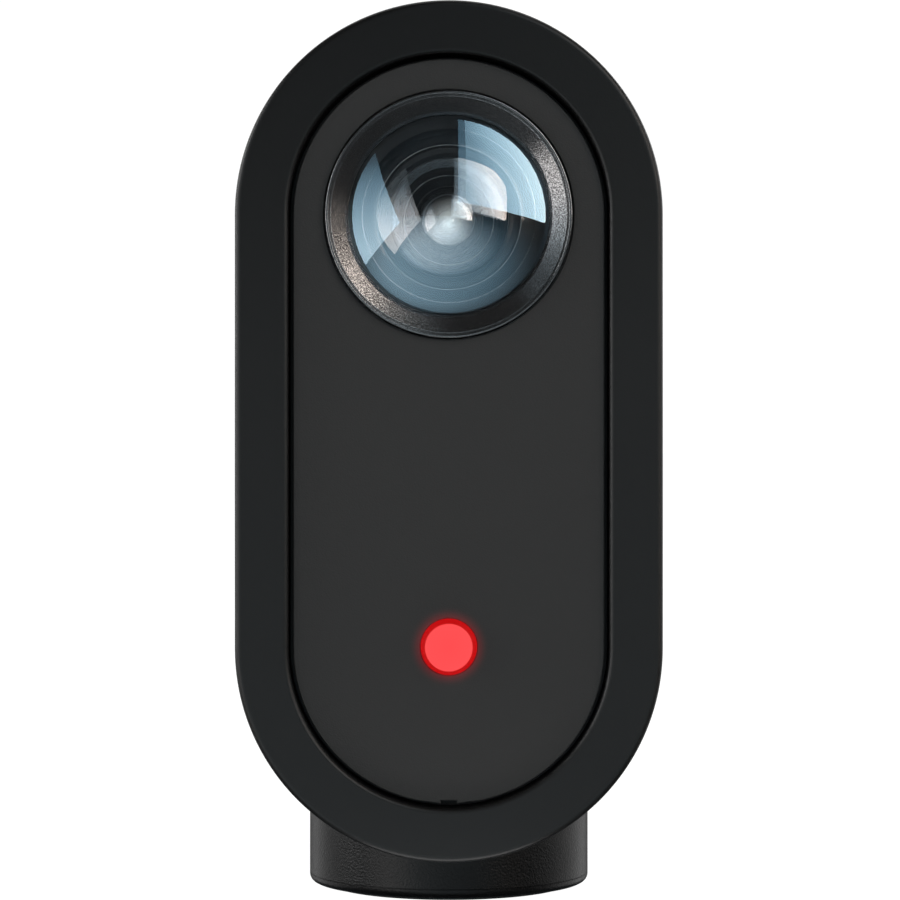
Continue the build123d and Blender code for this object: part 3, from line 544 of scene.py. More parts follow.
def turned_shell(profile, centre_z, closed=True):
    """Turned shape round a lengthwise axis; an open profile starts and ends on the axis."""
    return surface(round_slot(profile, centre_z, centre_z), closed_rows=closed, closed_columns=True)


def turned_solid(corners, centre_z):
    """Turned shape from rounded corners whose first and last are on its axis."""
    return turned_shell(rounded(corners, closed=False), centre_z, closed=False)


def upright_shell(profile, closed=True):
    """Turned shape round the upright axis: radius r and height h at turn a stand at (r cos a, r sin a, h)."""
    radius, height = profile[:, :1], profile[:, 1:]
    x, y = radius * np.cos(TURN), radius * np.sin(TURN)
    points = np.stack([x, y, np.broadcast_to(height, x.shape)], -1)
    return surface(points, closed_rows=closed, closed_columns=True)


# ------------ body shell

OPENING = PLATE_RADIUS + 0.37 * MM
LEDGE = PLATE_RADIUS - 0.98 * MM
LEDGE_DEPTH = 1.5 * MM
SPIGOT = END_RADIUS - 1.9 * MM
SPIGOT_INNER = SPIGOT - 1.2 * MM
FRAME_DEPTH = 6.0 * MM
SPIGOT_DEPTH = FRAME_DEPTH + 2.9 * MM
SLEEVE_INNER = END_RADIUS - 1.8 * MM


def end_frame(face_y, plate_back_y, inward):
    """End ring: outer wall, rounded lip, opening, ledge, and the spigot that enters the sleeve."""
    ledge_y = plate_back_y + inward * 0.25 * MM
    ledge_end_y = ledge_y + inward * LEDGE_DEPTH
    wall_end_y = face_y + inward * FRAME_DEPTH
    spigot_y = face_y + inward * SPIGOT_DEPTH
    corners = [
        (END_RADIUS, wall_end_y, 0.15),
        (END_RADIUS, face_y, 0.45),
        (OPENING, face_y, 0.35),
        (OPENING, ledge_y, 0.1),
        (LEDGE, ledge_y, 0.1),
        (LEDGE, ledge_end_y, 0.1),
        (SPIGOT_INNER, ledge_end_y, 0.2),
        (SPIGOT_INNER, spigot_y, 0.1),
        (SPIGOT, spigot_y, 0.15),
        (SPIGOT, wall_end_y, 0.1),
    ]
    return slot_shell(corners)


sleeve_corners = [
    (END_RADIUS, SLEEVE_REAR_Y, 0.15),
    (END_RADIUS, SLEEVE_FRONT_Y, 0.15),
    (SLEEVE_INNER, SLEEVE_FRONT_Y, 0.1),
    (SLEEVE_INNER, SLEEVE_REAR_Y, 0.1),
]
piece("front_ring", [end_frame(FRONT_Y, PLATE_BACK_Y, 1)], "housing_plastic", "front_frame")
piece("rear_ring", [end_frame(REAR_Y, REAR_PLATE_BACK_Y, -1)], "housing_plastic", "rear_frame")
piece("sleeve", [slot_shell(sleeve_corners)], "housing_plastic", "body_sleeve")

# ------------ plates


def hole_half(centre_z, half_width, half_height, corner, grow=0.0):
    """Right half of a round-cornered hole's outline from its top to its bottom, as (x, z) points.

    A quarter turn round each corner joins the flats. The flat ends slope by a hair, so that no quad beside
    them is without height.
    """
    half_width, half_height, corner = half_width + grow, half_height + grow, corner + grow
    quarter = np.linspace(0, pi / 2, 25)
    side_x = half_width - corner + corner * np.sin(quarter)
    end_z = half_height - corner + corner * np.cos(quarter)
    if half_width > corner:
        end_z[0] -= 0.002 * MM
        side_x = np.concatenate([[0.0], side_x])
        end_z = np.concatenate([[half_height], end_z])
    straight = np.linspace(end_z[-1], -end_z[-1], 33)[1:-1] if half_height > corner else np.array([])
    x = np.concatenate([side_x, np.full(len(straight), side_x[-1]), side_x[::-1]])
    z = np.concatenate([end_z, straight, -end_z[::-1]])
    return np.stack([x, centre_z + z], -1)


def plate_rows(radius, holes, port, grow):
    """Rows down a slot-shaped plate: half-width of the hole, half-width of the outline, height.

    The outline's half-width at height z is sqrt(R^2 - d^2), where d is how far z is beyond the arc centre,
    and R alone between the centres. The rows of the top and bottom arcs stand at c + R sin a.
    """
    reach = radius - grow
    halves = [hole_half(*hole, grow=grow) for hole in holes]
    first_top, last_bottom = halves[0][0, 1], halves[-1][-1, 1]
    high_turn = np.linspace(pi / 2, np.arcsin((max(first_top, HIGH_Z) - HIGH_Z) / reach), 49)
    low_turn = np.linspace(np.arcsin((LOW_Z - min(last_bottom, LOW_Z)) / reach), pi / 2, 49)
    inner = [np.stack([np.zeros(49), HIGH_Z + reach * np.sin(high_turn)], -1)] + halves
    low_z = LOW_Z - reach * np.sin(low_turn)
    if port:
        port_half, port_depth = port[0] + grow, port[1] + grow
        port_top = LOW_Z - radius + port_depth
        port_foot = LOW_Z - np.sqrt(reach**2 - port_half**2)
        low_z = low_z[low_z > port_top + 0.01 * MM]
        ends = [(0.0, port_top), (port_half, port_top - 0.002 * MM), (port_half, port_foot)]
        inner += [np.stack([np.zeros(len(low_z)), low_z], -1), np.array(ends)]
    else:
        inner.append(np.stack([np.zeros(49), low_z], -1))
    rows = np.concatenate(inner)
    beyond = np.maximum(rows[:, 1] - HIGH_Z, 0) + np.maximum(LOW_Z - rows[:, 1], 0)
    outline = np.sqrt(np.maximum(reach**2 - beyond**2, 0))
    return np.stack([rows[:, 0], np.maximum(outline, rows[:, 0]), rows[:, 1]], -1), halves


def plate_surfaces(face_y, back_y, radius, holes, port=None, edge=0.07 * MM):
    """Slot-shaped plate with its holes in a column, each edge of its face broken by a small bevel.

    Each face is rows at one height that run from the hole's half-width to the outline's half-width, on
    both sides; the walls carry the outlines from the face to the back.
    """
    inward = 1 if back_y > face_y else -1
    shown, shown_holes = plate_rows(radius, holes, port, edge)
    full, full_holes = plate_rows(radius, holes, port, 0.0)
    surfaces = []
    for rows, depth in ((shown, face_y), (full, back_y)):
        for side in (1, -1):
            level = np.full(len(rows), depth)
            points = [np.stack([side * rows[:, k], level, rows[:, 2]], -1) for k in (0, 1)]
            surfaces.append(surface(np.stack(points, 1)))
    outlines = [(shown[:, 1:], full[:, 1:])] + list(zip(shown_holes, full_holes))
    if port:
        notch_shown, notch_full = shown[[-1, -2, -3]][:, [0, 2]], full[[-1, -2, -3]][:, [0, 2]]
        outlines[0] = (np.concatenate([shown[:, 1:], notch_shown]), np.concatenate([full[:, 1:], notch_full]))
    for small, large in outlines:
        loops = [
            np.stack([half[:, 0], np.full(len(half), depth), half[:, 1]], -1)
            for half, depth in ((small, face_y), (large, face_y + inward * edge), (large, back_y))
        ]
        mirrored = [loop[::-1] * (-1, 1, 1) for loop in loops]
        wall = np.stack([np.concatenate(pair) for pair in zip(loops, mirrored)])
        surfaces.append(surface(wall, closed_columns=True))
    return surfaces


def round_hole(centre_z, radius):
    """Round hole as (centre height, half-width, half-height, corner)."""
    return (centre_z, radius, radius, radius)


LENS_HOLE = RING_FLANGE - 0.88 * MM
LIGHT_HOLE = 2.26 * MM
SOUND_SLOT = (0.65 * MM, 0.25 * MM)
front_holes = [round_hole(HIGH_Z, LENS_HOLE), round_hole(LIGHT_Z, LIGHT_HOLE)]
face = plate_surfaces(PLATE_Y, PLATE_BACK_Y, PLATE_RADIUS, front_holes, port=SOUND_SLOT)
piece("face_plate", face, "panel_plastic", "front_plate", [FACE_PANEL_PAINTED_GLOW])

button_low, button_high = limits("power_button")
CAP_RADIUS = button_high[0] - 0.7 * MM
pipes_low, pipes_high = limits("status_light_pipes")
PIPE_RADIUS, PIPE_HOLE = 0.72 * MM, 0.78 * MM
pipe_spots = (pipes_high[2] - PIPE_RADIUS, pipes_low[2] + PIPE_RADIUS)
card_low, card_high = limits("memory_card")
CARD_Z = middle_z("memory_card")
USB_Z = middle_z("usb_port")
usb_half_width, usb_half_height = 1.78 * MM, 4.62 * MM
rear_holes = [
    round_hole(HIGH_Z, CAP_RADIUS + 0.12 * MM),
    *(round_hole(spot, PIPE_HOLE) for spot in pipe_spots),
    (CARD_Z, 0.85 * MM, 5.9 * MM, 0.4 * MM),
    round_hole(middle_z("reset_plunger"), 0.55 * MM),
    round_hole(middle_z("audio_jack"), 2.96 * MM),
    (USB_Z, usb_half_width, usb_half_height, usb_half_width),
]
back = plate_surfaces(REAR_PLATE_Y, REAR_PLATE_BACK_Y, PLATE_RADIUS, rear_holes)
piece("back_plate", back, "panel_plastic", "rear_plate")

# ------------ lens

RING_WALL = RING_FLANGE - 1.0 * MM
GLASS_REACH = 8.0 * MM
RING_LIP_Y = FRONT_Y + 1.2 * MM
GLASS_SEAT_Y = FRONT_Y + 2.35 * MM
FLANGE_Y = PLATE_BACK_Y + 0.05 * MM
FLANGE_END_Y = FLANGE_Y + 1.0 * MM
ring_corners = [
    (RING_WALL, RING_Y, 0.1),
    (RING_WALL - 0.24 * MM, RING_Y, 0.08),
    (RING_WALL - 0.3 * MM, RING_Y + 0.22 * MM, 0.03),
    (RING_WALL - 0.42 * MM, RING_Y + 0.16 * MM, 0.05),
    (GLASS_REACH + 0.26 * MM, RING_LIP_Y, 0.05),
    (GLASS_REACH + 0.03 * MM, RING_LIP_Y + 0.32 * MM, 0.03),
    (GLASS_REACH + 0.03 * MM, GLASS_SEAT_Y, 0.0),
    (GLASS_EDGE + 0.1 * MM, GLASS_SEAT_Y, 0.0),
    (GLASS_EDGE + 0.1 * MM, RING_BACK_Y, 0.05),
    (RING_WALL - 0.5 * MM, RING_BACK_Y, 0.05),
    (RING_WALL - 0.5 * MM, FLANGE_END_Y, 0.05),
    (RING_FLANGE, FLANGE_END_Y, 0.1),
    (RING_FLANGE, FLANGE_Y, 0.1),
    (RING_WALL, FLANGE_Y, 0.05),
]
piece("bezel", [turned_shell(rounded(ring_corners, steps=4), HIGH_Z)], "lens_ring_metal", "lens_ring")


def dome_arc(vertex_y, curve, reach, count=40):
    """Points of a spherical surface from its vertex out: depth = vertex + curve - sqrt(curve^2 - r^2)."""
    radius = np.linspace(0, reach, count)
    side = np.sign(curve)
    return np.stack([radius, vertex_y + curve - side * np.sqrt(curve**2 - radius**2)], -1)


DOME_CURVE, DOME_BACK_CURVE, DOME_BACK_REACH = 19.2 * MM, 12.5 * MM, 6.6 * MM
dome_edge_y = GLASS_SEAT_Y + 0.05 * MM
dome_back_y = GLASS_BACK_Y - (DOME_BACK_CURVE - np.sqrt(DOME_BACK_CURVE**2 - DOME_BACK_REACH**2))
dome_profile = np.concatenate(
    [
        dome_arc(GLASS_Y, DOME_CURVE, GLASS_REACH),
        [(GLASS_REACH, dome_edge_y), (GLASS_EDGE, dome_edge_y), (GLASS_EDGE, GLASS_BACK_Y)],
        dome_arc(dome_back_y, DOME_BACK_CURVE, DOME_BACK_REACH)[::-1],
    ]
)
dome_materials = [FINISHES["dome_glass"], DOME_BACK, FINISHES["barrel_black"]]
dome_shell = turned_shell(dome_profile, HIGH_Z, closed=False)
dome = piece("dome", [dome_shell], "dome_glass", "front_lens", dome_materials)


def finish_dome_faces(made, back_reach):
    """Second material on the hollow back, and blackened rim and edge as the third.

    A face is the back's when it looks backwards inside the back's reach, and the rim's when it is outside
    the clear front or looks backwards or sideways beyond that reach.
    """
    mesh = made.data
    count = len(mesh.polygons)
    normals, centres = np.empty(count * 3), np.empty(count * 3)
    mesh.polygons.foreach_get("normal", normals)
    mesh.polygons.foreach_get("center", centres)
    normals, centres = normals.reshape(-1, 3), centres.reshape(-1, 3)
    reach = np.hypot(centres[:, 0], centres[:, 2] - HIGH_Z)
    back = (normals[:, 1] > 0) & (reach < back_reach)
    rim = ~back & ((normals[:, 1] > -0.5) | (reach > GLASS_REACH))
    mesh.polygons.foreach_set("material_index", (back + 2 * rim).astype(np.int32))


finish_dome_faces(dome, DOME_BACK_REACH)


def element_profile(node, front_curve, back_curve, back_reach):
    """Section of an inner lens: a front cap and a back cap of the given curves, joined by a cylinder edge.

    Each cap's depth is v + R - sqrt(R^2 - r^2); a negative back curve bulges backwards.
    """
    low, high = limits(node)
    edge = high[0]
    front = dome_arc(low[1], front_curve, edge)
    sag = abs(back_curve) - np.sqrt(back_curve**2 - back_reach**2)
    vertex = high[1] - sag if back_curve > 0 else high[1]
    back = dome_arc(vertex, back_curve, back_reach)[::-1]
    rim = [[(edge, back[0, 1])]] if back_reach < edge else []
    return np.concatenate([front, *rim, back])


for node, front_curve, back_curve, back_reach, glass in (
    ("second_lens", 17.0, 7.0, 4.2 * MM, SECOND_GLASS),
    ("third_lens", 14.0, -16.0, side_reach("third_lens"), FINISHES["lens_glass"]),
    ("rear_lens", 9.0, -11.0, side_reach("rear_lens"), REAR_GLASS),
):
    profile = element_profile(node, front_curve * MM, back_curve * MM, back_reach)
    piece(node + "_glass", [turned_shell(profile, HIGH_Z, closed=False)], "lens_glass", node, [glass])

CONE_OUTER, CONE_INNER, CONE_END_Y = 6.85 * MM, 4.95 * MM, BARREL_Y + 1.55 * MM
SEAL_INNER, SEAL_OUTER, SEAL_Y = 7.35 * MM, 8.25 * MM, BARREL_Y + 0.45 * MM
BARREL_BORE, BARREL_RADIUS = 5.5 * MM, 6.8 * MM
HEAD_END_Y, BORE_Y = BARREL_Y + 1.4 * MM, CONE_END_Y + 0.4 * MM
barrel_corners = [
    (CONE_INNER, CONE_END_Y, 0.05),
    (CONE_INNER + 0.3 * MM, CONE_END_Y - 0.25 * MM, 0.05),
    (5.65 * MM, CONE_END_Y - 0.32 * MM, 0.05),
    (5.8 * MM, CONE_END_Y - 0.66 * MM, 0.05),
    (CONE_OUTER, BARREL_Y, 0.1),
    (SEAL_INNER, BARREL_Y, 0.05),
    (SEAL_INNER, SEAL_Y, 0.0),
    (SEAL_OUTER, SEAL_Y, 0.0),
    (SEAL_OUTER, BARREL_Y, 0.05),
    (GLASS_EDGE, BARREL_Y, 0.1),
    (GLASS_EDGE, HEAD_END_Y, 0.1),
    (BARREL_RADIUS, HEAD_END_Y, 0.0),
    (BARREL_RADIUS, BARREL_BACK_Y, 0.1),
    (BARREL_BORE, BARREL_BACK_Y, 0.1),
    (BARREL_BORE, BORE_Y, 0.0),
    (CONE_INNER, BORE_Y, 0.0),
]
barrel = turned_shell(rounded(barrel_corners, steps=4), HIGH_Z)
piece("cone_barrel", [barrel], "barrel_black", "lens_barrel", sharp_angle=30)


def edge_ring(radius, depth, width):
    """Thin ring of round section: radius R + w cos b, depth y + w sin b."""
    around = np.linspace(0, 2 * pi, 13)[:-1]
    section = np.stack([radius + width * np.cos(around), depth + width * np.sin(around)], -1)
    return turned_shell(section, HIGH_Z)


# Ground edges of the inner elements, which show as fine bright circles.
third_y = depths("third_lens")[0]
element_edges = [
    edge_ring(5.78 * MM, CONE_END_Y - 0.68 * MM, 0.03 * MM),
    edge_ring(4.1 * MM, third_y - 0.9 * MM, 0.045 * MM),
    edge_ring(2.5 * MM, third_y - 0.35 * MM, 0.04 * MM),
]
piece("element_edges", element_edges, "barrel_black", materials=[EDGE_SILVER])

# ------------ record light

DISC_FACE, DISC_WALL, DISC_FLANGE, DISC_STEM = 1.88 * MM, 2.24 * MM, 3.0 * MM, 1.6 * MM
disc_flange_y = PLATE_BACK_Y + 0.05 * MM
disc_corners = [
    (0.0, LIGHT_Y, 0.0),
    (DISC_FACE, LIGHT_Y, 0.05),
    (DISC_WALL, PLATE_Y, 0.05),
    (DISC_WALL, disc_flange_y, 0.0),
    (DISC_FLANGE, disc_flange_y, 0.05),
    (DISC_FLANGE, disc_flange_y + 0.7 * MM, 0.05),
    (DISC_STEM, disc_flange_y + 0.9 * MM, 0.1),
    (DISC_STEM, LIGHT_BACK_Y, 0.05),
    (0.0, LIGHT_BACK_Y, 0.0),
]
piece("record_lens", [turned_solid(disc_corners, LIGHT_Z)], "light_red", "record_light")

# ------------ foot

foot_low, foot_high = limits("stand_base")
FOOT_RADIUS, RECESS_RADIUS, RECESS_Z = foot_high[0], 12.05 * MM, 1.0 * MM


def body_underside(x):
    """Height of the body's underside at a distance x to the side: c - sqrt(R^2 - x^2)."""
    return LOW_Z - np.sqrt(END_RADIUS**2 - x**2)


def foot_surfaces():
    """Round foot whose top follows the underside of the body.

    The wall runs at turn a from the rounded bottom edge up to the body's underside at x = r cos a; the top
    is the same height over a disc, and the underside is a flat ring and a recess.
    """
    wall_low = foot_low[2] + 0.8 * MM
    x, y = FOOT_RADIUS * np.cos(TURN), FOOT_RADIUS * np.sin(TURN)
    height = wall_low + (body_underside(x) - wall_low) * np.linspace(0, 1, 13)[:, None]
    wall = np.stack([np.broadcast_to(x, height.shape), np.broadcast_to(y, height.shape), height], -1)
    share = np.linspace(1, 0, 25)[:, None]
    disc = np.stack([share * x, share * y, body_underside(share * x)], -1)
    underside = [
        (FOOT_RADIUS, wall_low, 0.0),
        (FOOT_RADIUS, foot_low[2], 0.7),
        (RECESS_RADIUS, foot_low[2], 0.1),
        (RECESS_RADIUS, RECESS_Z, 0.0),
        (0.0, RECESS_Z, 0.0),
    ]
    shells = [surface(part, closed_columns=True) for part in (wall, disc)]
    return shells + [upright_shell(rounded(underside, closed=False), closed=False)]


piece("foot", foot_surfaces(), "base_plastic", "stand_base")

pad_low, pad_high = limits("foot_pad")
insert_low, insert_high = limits("thread_insert")


def ribbed_pad():
    """Section of the rubber ring: a flat underside with four shallow round-bottomed grooves."""
    outer, inner, rim, shoulder_z = pad_high[0], 5.2 * MM, 0.6 * MM, 0.25 * MM
    radius = np.linspace(outer - rim, inner + rim, 121)
    wave = np.cos((radius - inner) / (outer - inner) * 2 * pi * 5)
    groove = 0.28 * MM * np.clip(-wave - 0.45, 0, 1)
    under = np.stack([radius, pad_low[2] + groove], -1)
    top_z = pad_high[2]
    return np.concatenate([under, [(inner, shoulder_z), (inner, top_z), (outer, top_z), (outer, shoulder_z)]])


piece("foot_ring", [upright_shell(ribbed_pad())], "foot_rubber", "foot_pad")


def threaded_insert():
    """Steel insert with a helical thread.

    The bore's radius at turn a and height z is major - depth * (1 - |2 f - 1|), where f is the fraction of
    z / pitch - a / (2 pi): a triangle wave that climbs one pitch in a turn. It fades in over half a pitch
    above its low end, and its top row is the full major radius.
    """
    pitch, major, depth = 1.27 * MM, 3.17 * MM, 0.55 * MM
    low, high, outer = insert_low[2], insert_high[2], insert_high[0]
    turn = np.linspace(0, 2 * pi, 97)[:-1]
    height = np.linspace(low + 0.3 * MM, high, 180)[:, None]
    share = (height / pitch - turn / (2 * pi)) % 1.0
    fade = np.clip((height - low - 0.3 * MM) / (0.5 * pitch), 0, 1)
    bore = major - depth * fade * (1 - np.abs(2 * share - 1))
    bore[-1] = major
    ring_radius = np.array([3.5 * MM, outer, outer])[:, None]
    ring_height = np.array([low, low, high])[:, None]
    radius = np.concatenate([bore[::-1], ring_radius * np.ones_like(turn)])
    level = np.concatenate([(height * np.ones_like(turn))[::-1], ring_height * np.ones_like(turn)])
    points = np.stack([radius * np.cos(turn), radius * np.sin(turn), level], -1)
    return surface(points, closed_rows=True, closed_columns=True)


piece("tripod_insert", [threaded_insert()], "insert_steel", "thread_insert", sharp_angle=50)

# ------------ controls and sockets at the back

STEM_RADIUS, STEM_END_Y = 1.5 * MM, button_low[1] + 0.85 * MM
CAP_FACE_Y, CAP_FLANGE_Y = button_high[1], REAR_PLATE_BACK_Y - 0.06 * MM
cap_corners = [
    (0.0, button_low[1], 0.0),
    (STEM_RADIUS, button_low[1], 0.1),
    (STEM_RADIUS, STEM_END_Y, 0.0),
    (button_high[0], STEM_END_Y, 0.1),
    (button_high[0], CAP_FLANGE_Y, 0.1),
    (CAP_RADIUS, CAP_FLANGE_Y, 0.0),
    (CAP_RADIUS, CAP_FACE_Y, 0.3),
    (CAP_RADIUS - 0.9 * MM, CAP_FACE_Y, 0.3),
    (CAP_RADIUS - 1.4 * MM, CAP_FACE_Y - 0.12 * MM, 0.3),
    (0.0, CAP_FACE_Y - 0.2 * MM, 0.0),
]
piece("power_cap", [turned_solid(cap_corners, HIGH_Z)], "cap_plastic", "power_button", body="power_button")


def ribbon(path, half_width, depth_low, depth_high):
    """Flat bar of even width along a path of (x, z) points, its ends closed.

    A box section is carried with its side turned to the path's own direction.
    """
    ahead = np.gradient(path, axis=0)
    ahead = ahead / np.linalg.norm(ahead, axis=1, keepdims=True)
    side = np.stack([-ahead[:, 1], ahead[:, 0]], -1) * half_width
    lines = []
    for edge, depth in ((side, depth_low), (-side, depth_low), (-side, depth_high), (side, depth_high)):
        x, z = (path + edge).T
        lines.append(np.stack([x, np.full(len(x), depth), z], -1))
    points = np.stack(lines, 1)
    start, end = (np.broadcast_to(points[k].mean(0), points[:1].shape) for k in (0, -1))
    return surface(np.concatenate([start, points, end]), closed_columns=True)


MARK_RADIUS, MARK_HALF_WIDTH, MARK_GAP = 1.35 * MM, 0.14 * MM, 38
mark_turn = np.linspace(radians(90 + MARK_GAP), radians(450 - MARK_GAP), 49)
mark_ring = np.stack([MARK_RADIUS * np.cos(mark_turn), HIGH_Z + MARK_RADIUS * np.sin(mark_turn)], -1)
mark_bar = np.stack([np.zeros(9), HIGH_Z + np.linspace(0.35, 1.65, 9) * MM], -1)
mark_depths = (CAP_FACE_Y - 0.22 * MM, CAP_FACE_Y - 0.12 * MM)
mark = [ribbon(path, MARK_HALF_WIDTH, *mark_depths) for path in (mark_ring, mark_bar)]
piece("power_mark", mark, "cap_plastic", materials=[MARK], body="power_button")


def light_pipe(centre_z):
    """Light pipe: a rod with a low dome at its end."""
    radius = np.linspace(0, PIPE_RADIUS, 13)
    dome = np.stack([radius, pipes_high[1] - 0.15 * MM * (radius / PIPE_RADIUS) ** 2], -1)
    rod = [(PIPE_RADIUS, pipes_low[1]), (0.0, pipes_low[1])]
    return turned_shell(np.concatenate([dome, rod]), centre_z, closed=False)


piece("status_lights", [light_pipe(spot) for spot in pipe_spots], "light_pipe_clear", "status_light_pipes")


def boxes(low, high):
    """Closed boxes from their low and high corners: four side quads and two end quads for each."""
    low, high = np.atleast_2d(low), np.atleast_2d(high)
    pick = np.array([[x, y, z] for y in (0, 1) for x, z in ((0, 0), (1, 0), (1, 1), (0, 1))], bool)
    points = np.where(pick[None], high[:, None], low[:, None])
    quads = np.array([(0, 1, 5, 4), (1, 2, 6, 5), (2, 3, 7, 6), (3, 0, 4, 7), (0, 3, 2, 1), (4, 5, 6, 7)])
    faces = quads[None] + 8 * np.arange(len(low))[:, None, None]
    return points.reshape(-1, 3), faces.reshape(-1, 4)


def pad_row(x_range, y_range, heights, half_height):
    """Row of like contact pads, one at each height."""
    low, high = (np.array([[x, y, 0.0]] * len(heights)) for x, y in zip(x_range, y_range))
    low[:, 2], high[:, 2] = heights - half_height, heights + half_height
    return boxes(low, high)


PAD_LOW_X, PAD_HIGH_X, PAD_HALF_HEIGHT = 0.35 * MM, 0.39 * MM, 0.13 * MM
socket_y = depths("usb_port")[1]
contact_depths = (socket_y - 5.0 * MM, socket_y - 1.1 * MM)
contact_heights = USB_Z + np.linspace(-2.75, 2.75, 12) * MM
contacts = [
    pad_row(x_range, contact_depths, contact_heights, PAD_HALF_HEIGHT)
    for x_range in ((-PAD_HIGH_X, -PAD_LOW_X), (PAD_LOW_X, PAD_HIGH_X))
]
piece("charging_contacts", contacts, "port_steel", materials=[GOLD])


def softened(name, node, width, slot, body="camera"):
    """Merged copy of a CAD node's mesh with all its sharp edges bevelled."""
    mesh = frame["nodes"][node].data.copy()
    mesh.name = name
    mesh.materials.clear()
    mesh.materials.append(FINISHES[slot])
    work = bmesh.new()
    work.from_mesh(mesh)
    bmesh.ops.remove_doubles(work, verts=work.verts, dist=1e-6)
    bmesh.ops.dissolve_limit(work, angle_limit=radians(0.5), verts=work.verts, edges=work.edges)
    work.to_mesh(mesh)
    work.free()
    mesh.polygons.foreach_set("use_smooth", np.ones(len(mesh.polygons), bool))
    bevel = placed(name, mesh, body, node).modifiers.new("edge_break", "BEVEL")
    bevel.width = width
    bevel.segments = 2
    bevel.limit_method = "ANGLE"
    bevel.angle_limit = radians(40)
    bevel.use_clamp_overlap = True
    bevel.harden_normals = True


softened("charging_socket", "usb_port", 0.06 * MM, "port_steel")
softened("sound_socket", "audio_jack", 0.05 * MM, "jack_black")
softened("storage_card", "memory_card", 0.08 * MM, "card_black", body="card")

CARD_LEFT_X, CARD_RIGHT_X = -0.36 * MM, 0.35 * MM
pads_y = card_low[1] + 1.2 * MM
pads = pad_row(
    (CARD_LEFT_X, CARD_LEFT_X + 0.015 * MM),
    (pads_y, pads_y + 2.6 * MM),
    CARD_Z + (np.arange(8) - 3.5) * 1.1 * MM,
    0.4 * MM,
)
piece("card_contacts", [pads], "card_black", materials=[GOLD], body="card")
label = boxes(
    (CARD_RIGHT_X - 0.005 * MM, card_low[1] + 1.6 * MM, card_low[2] + 0.7 * MM),
    (CARD_RIGHT_X + 0.01 * MM, card_high[1] - 2.3 * MM, card_high[2] - 0.7 * MM),
)
piece("card_label", [label], "card_black", materials=[LABEL], body="card")

# ------------ finishes of the carried-over nodes

for subpart in frame["record"]["subparts"]:
    carried = frame["nodes"][subpart["node"]].data
    carried.materials.clear()
    carried.materials.append(FINISHES[subpart["material_slot"]])

# ------------ studio


def stage_piece(name, corners, material):
    """Flat stage piece with straight sides."""
    mesh = bpy.data.meshes.new(name)
    mesh.from_pydata(corners, [], [tuple(range(len(corners)))])
    mesh.materials.append(material)
    made = linked(name, mesh)
    return made


def blended_shader(tree, output, seen, other, share=1.0):
    """Feeds an output with one shader for camera rays, mixed by a share, and with another for the rest."""
    path = add(tree, "LightPath").outputs["Is Camera Ray"]
    factor = maths(tree, "MULTIPLY", path, share)
    choice = add(tree, "MixShader", i0=factor, i1=other, i2=seen)
    set_inputs(output, Surface=choice.outputs[0])


def floor_material():
    """Pale matte floor that the camera sees almost fully lit, with only a faint shadow by the foot."""
    material, tree, shader = shaded_material(
        "pale_floor", Base_Color=grey(0.85), Roughness=0.9, Specular_IOR_Level=0.1
    )
    lit = add(tree, "Emission", Color=(1, 1, 1), Strength=1.1)
    output = node_of(material, "OutputMaterial")[1]
    blended_shader(tree, output, lit.outputs[0], shader.outputs["BSDF"], 0.93)
    return material


FLOOR_HALF = 6.0
floor_corners = [(FLOOR_HALF * x, FLOOR_HALF * y, 0) for x, y in ((-1, -1), (1, -1), (1, 1), (-1, 1))]
floor = stage_piece("floor", floor_corners, floor_material())
floor.visible_glossy = False
floor.visible_transmission = False


def softbox(name, corners, bright, dim=None, spread=None, soft=None):
    """Flat panel, out of the camera's sight, that glows in a colour with a strength.

    The glow grows from dim at the spread's first point to bright at its second: the share at a point p is
    (p - a) . (b - a) / |b - a|^2. Without a dim glow it is even. A soft panel, given by a centre and its
    reach on each axis, dies away towards the rim of that ellipse.
    """
    material, tree, output = empty_material(name)
    dim = dim or bright
    start, end = np.array(spread or (corners[0], corners[2]))
    along = (end - start) / np.dot(end - start, end - start)
    place = place_on(tree)
    offset = vector_maths(tree, "SUBTRACT", place, i1=tuple(start))
    share = vector_maths(tree, "DOT_PRODUCT", offset.outputs[0], i1=tuple(along))
    level = ramp(tree, share.outputs["Value"], 0.0, 1.0)
    colour = mixed(tree, level, dim[0], bright[0])
    strength = maths(tree, "MULTIPLY_ADD", level, bright[1] - dim[1], dim[1])
    if soft:
        away = vector_maths(tree, "SUBTRACT", place, i1=soft[0])
        scaled = vector_maths(tree, "DIVIDE", away.outputs[0], i1=soft[1])
        length = vector_maths(tree, "LENGTH", scaled.outputs[0]).outputs["Value"]
        smooth = {"interpolation_type": "SMOOTHSTEP"}
        fade = add(tree, "MapRange", smooth, i0=length, i1=0.3, i2=1.0, i3=1.0, i4=0.0)
        strength = maths(tree, "MULTIPLY", strength, fade.outputs[0])
    glow = add(tree, "Emission", Color=colour, Strength=strength)
    set_inputs(output, Surface=glow.outputs[0])
    stage_piece(name, corners, material).visible_camera = False


def facing(*spots, distance=0.6):
    """Points in front of the lens, given as slopes across and up from the lens axis."""
    return [(across * distance, FRONT_Y - distance, HIGH_Z + up * distance) for across, up in spots]


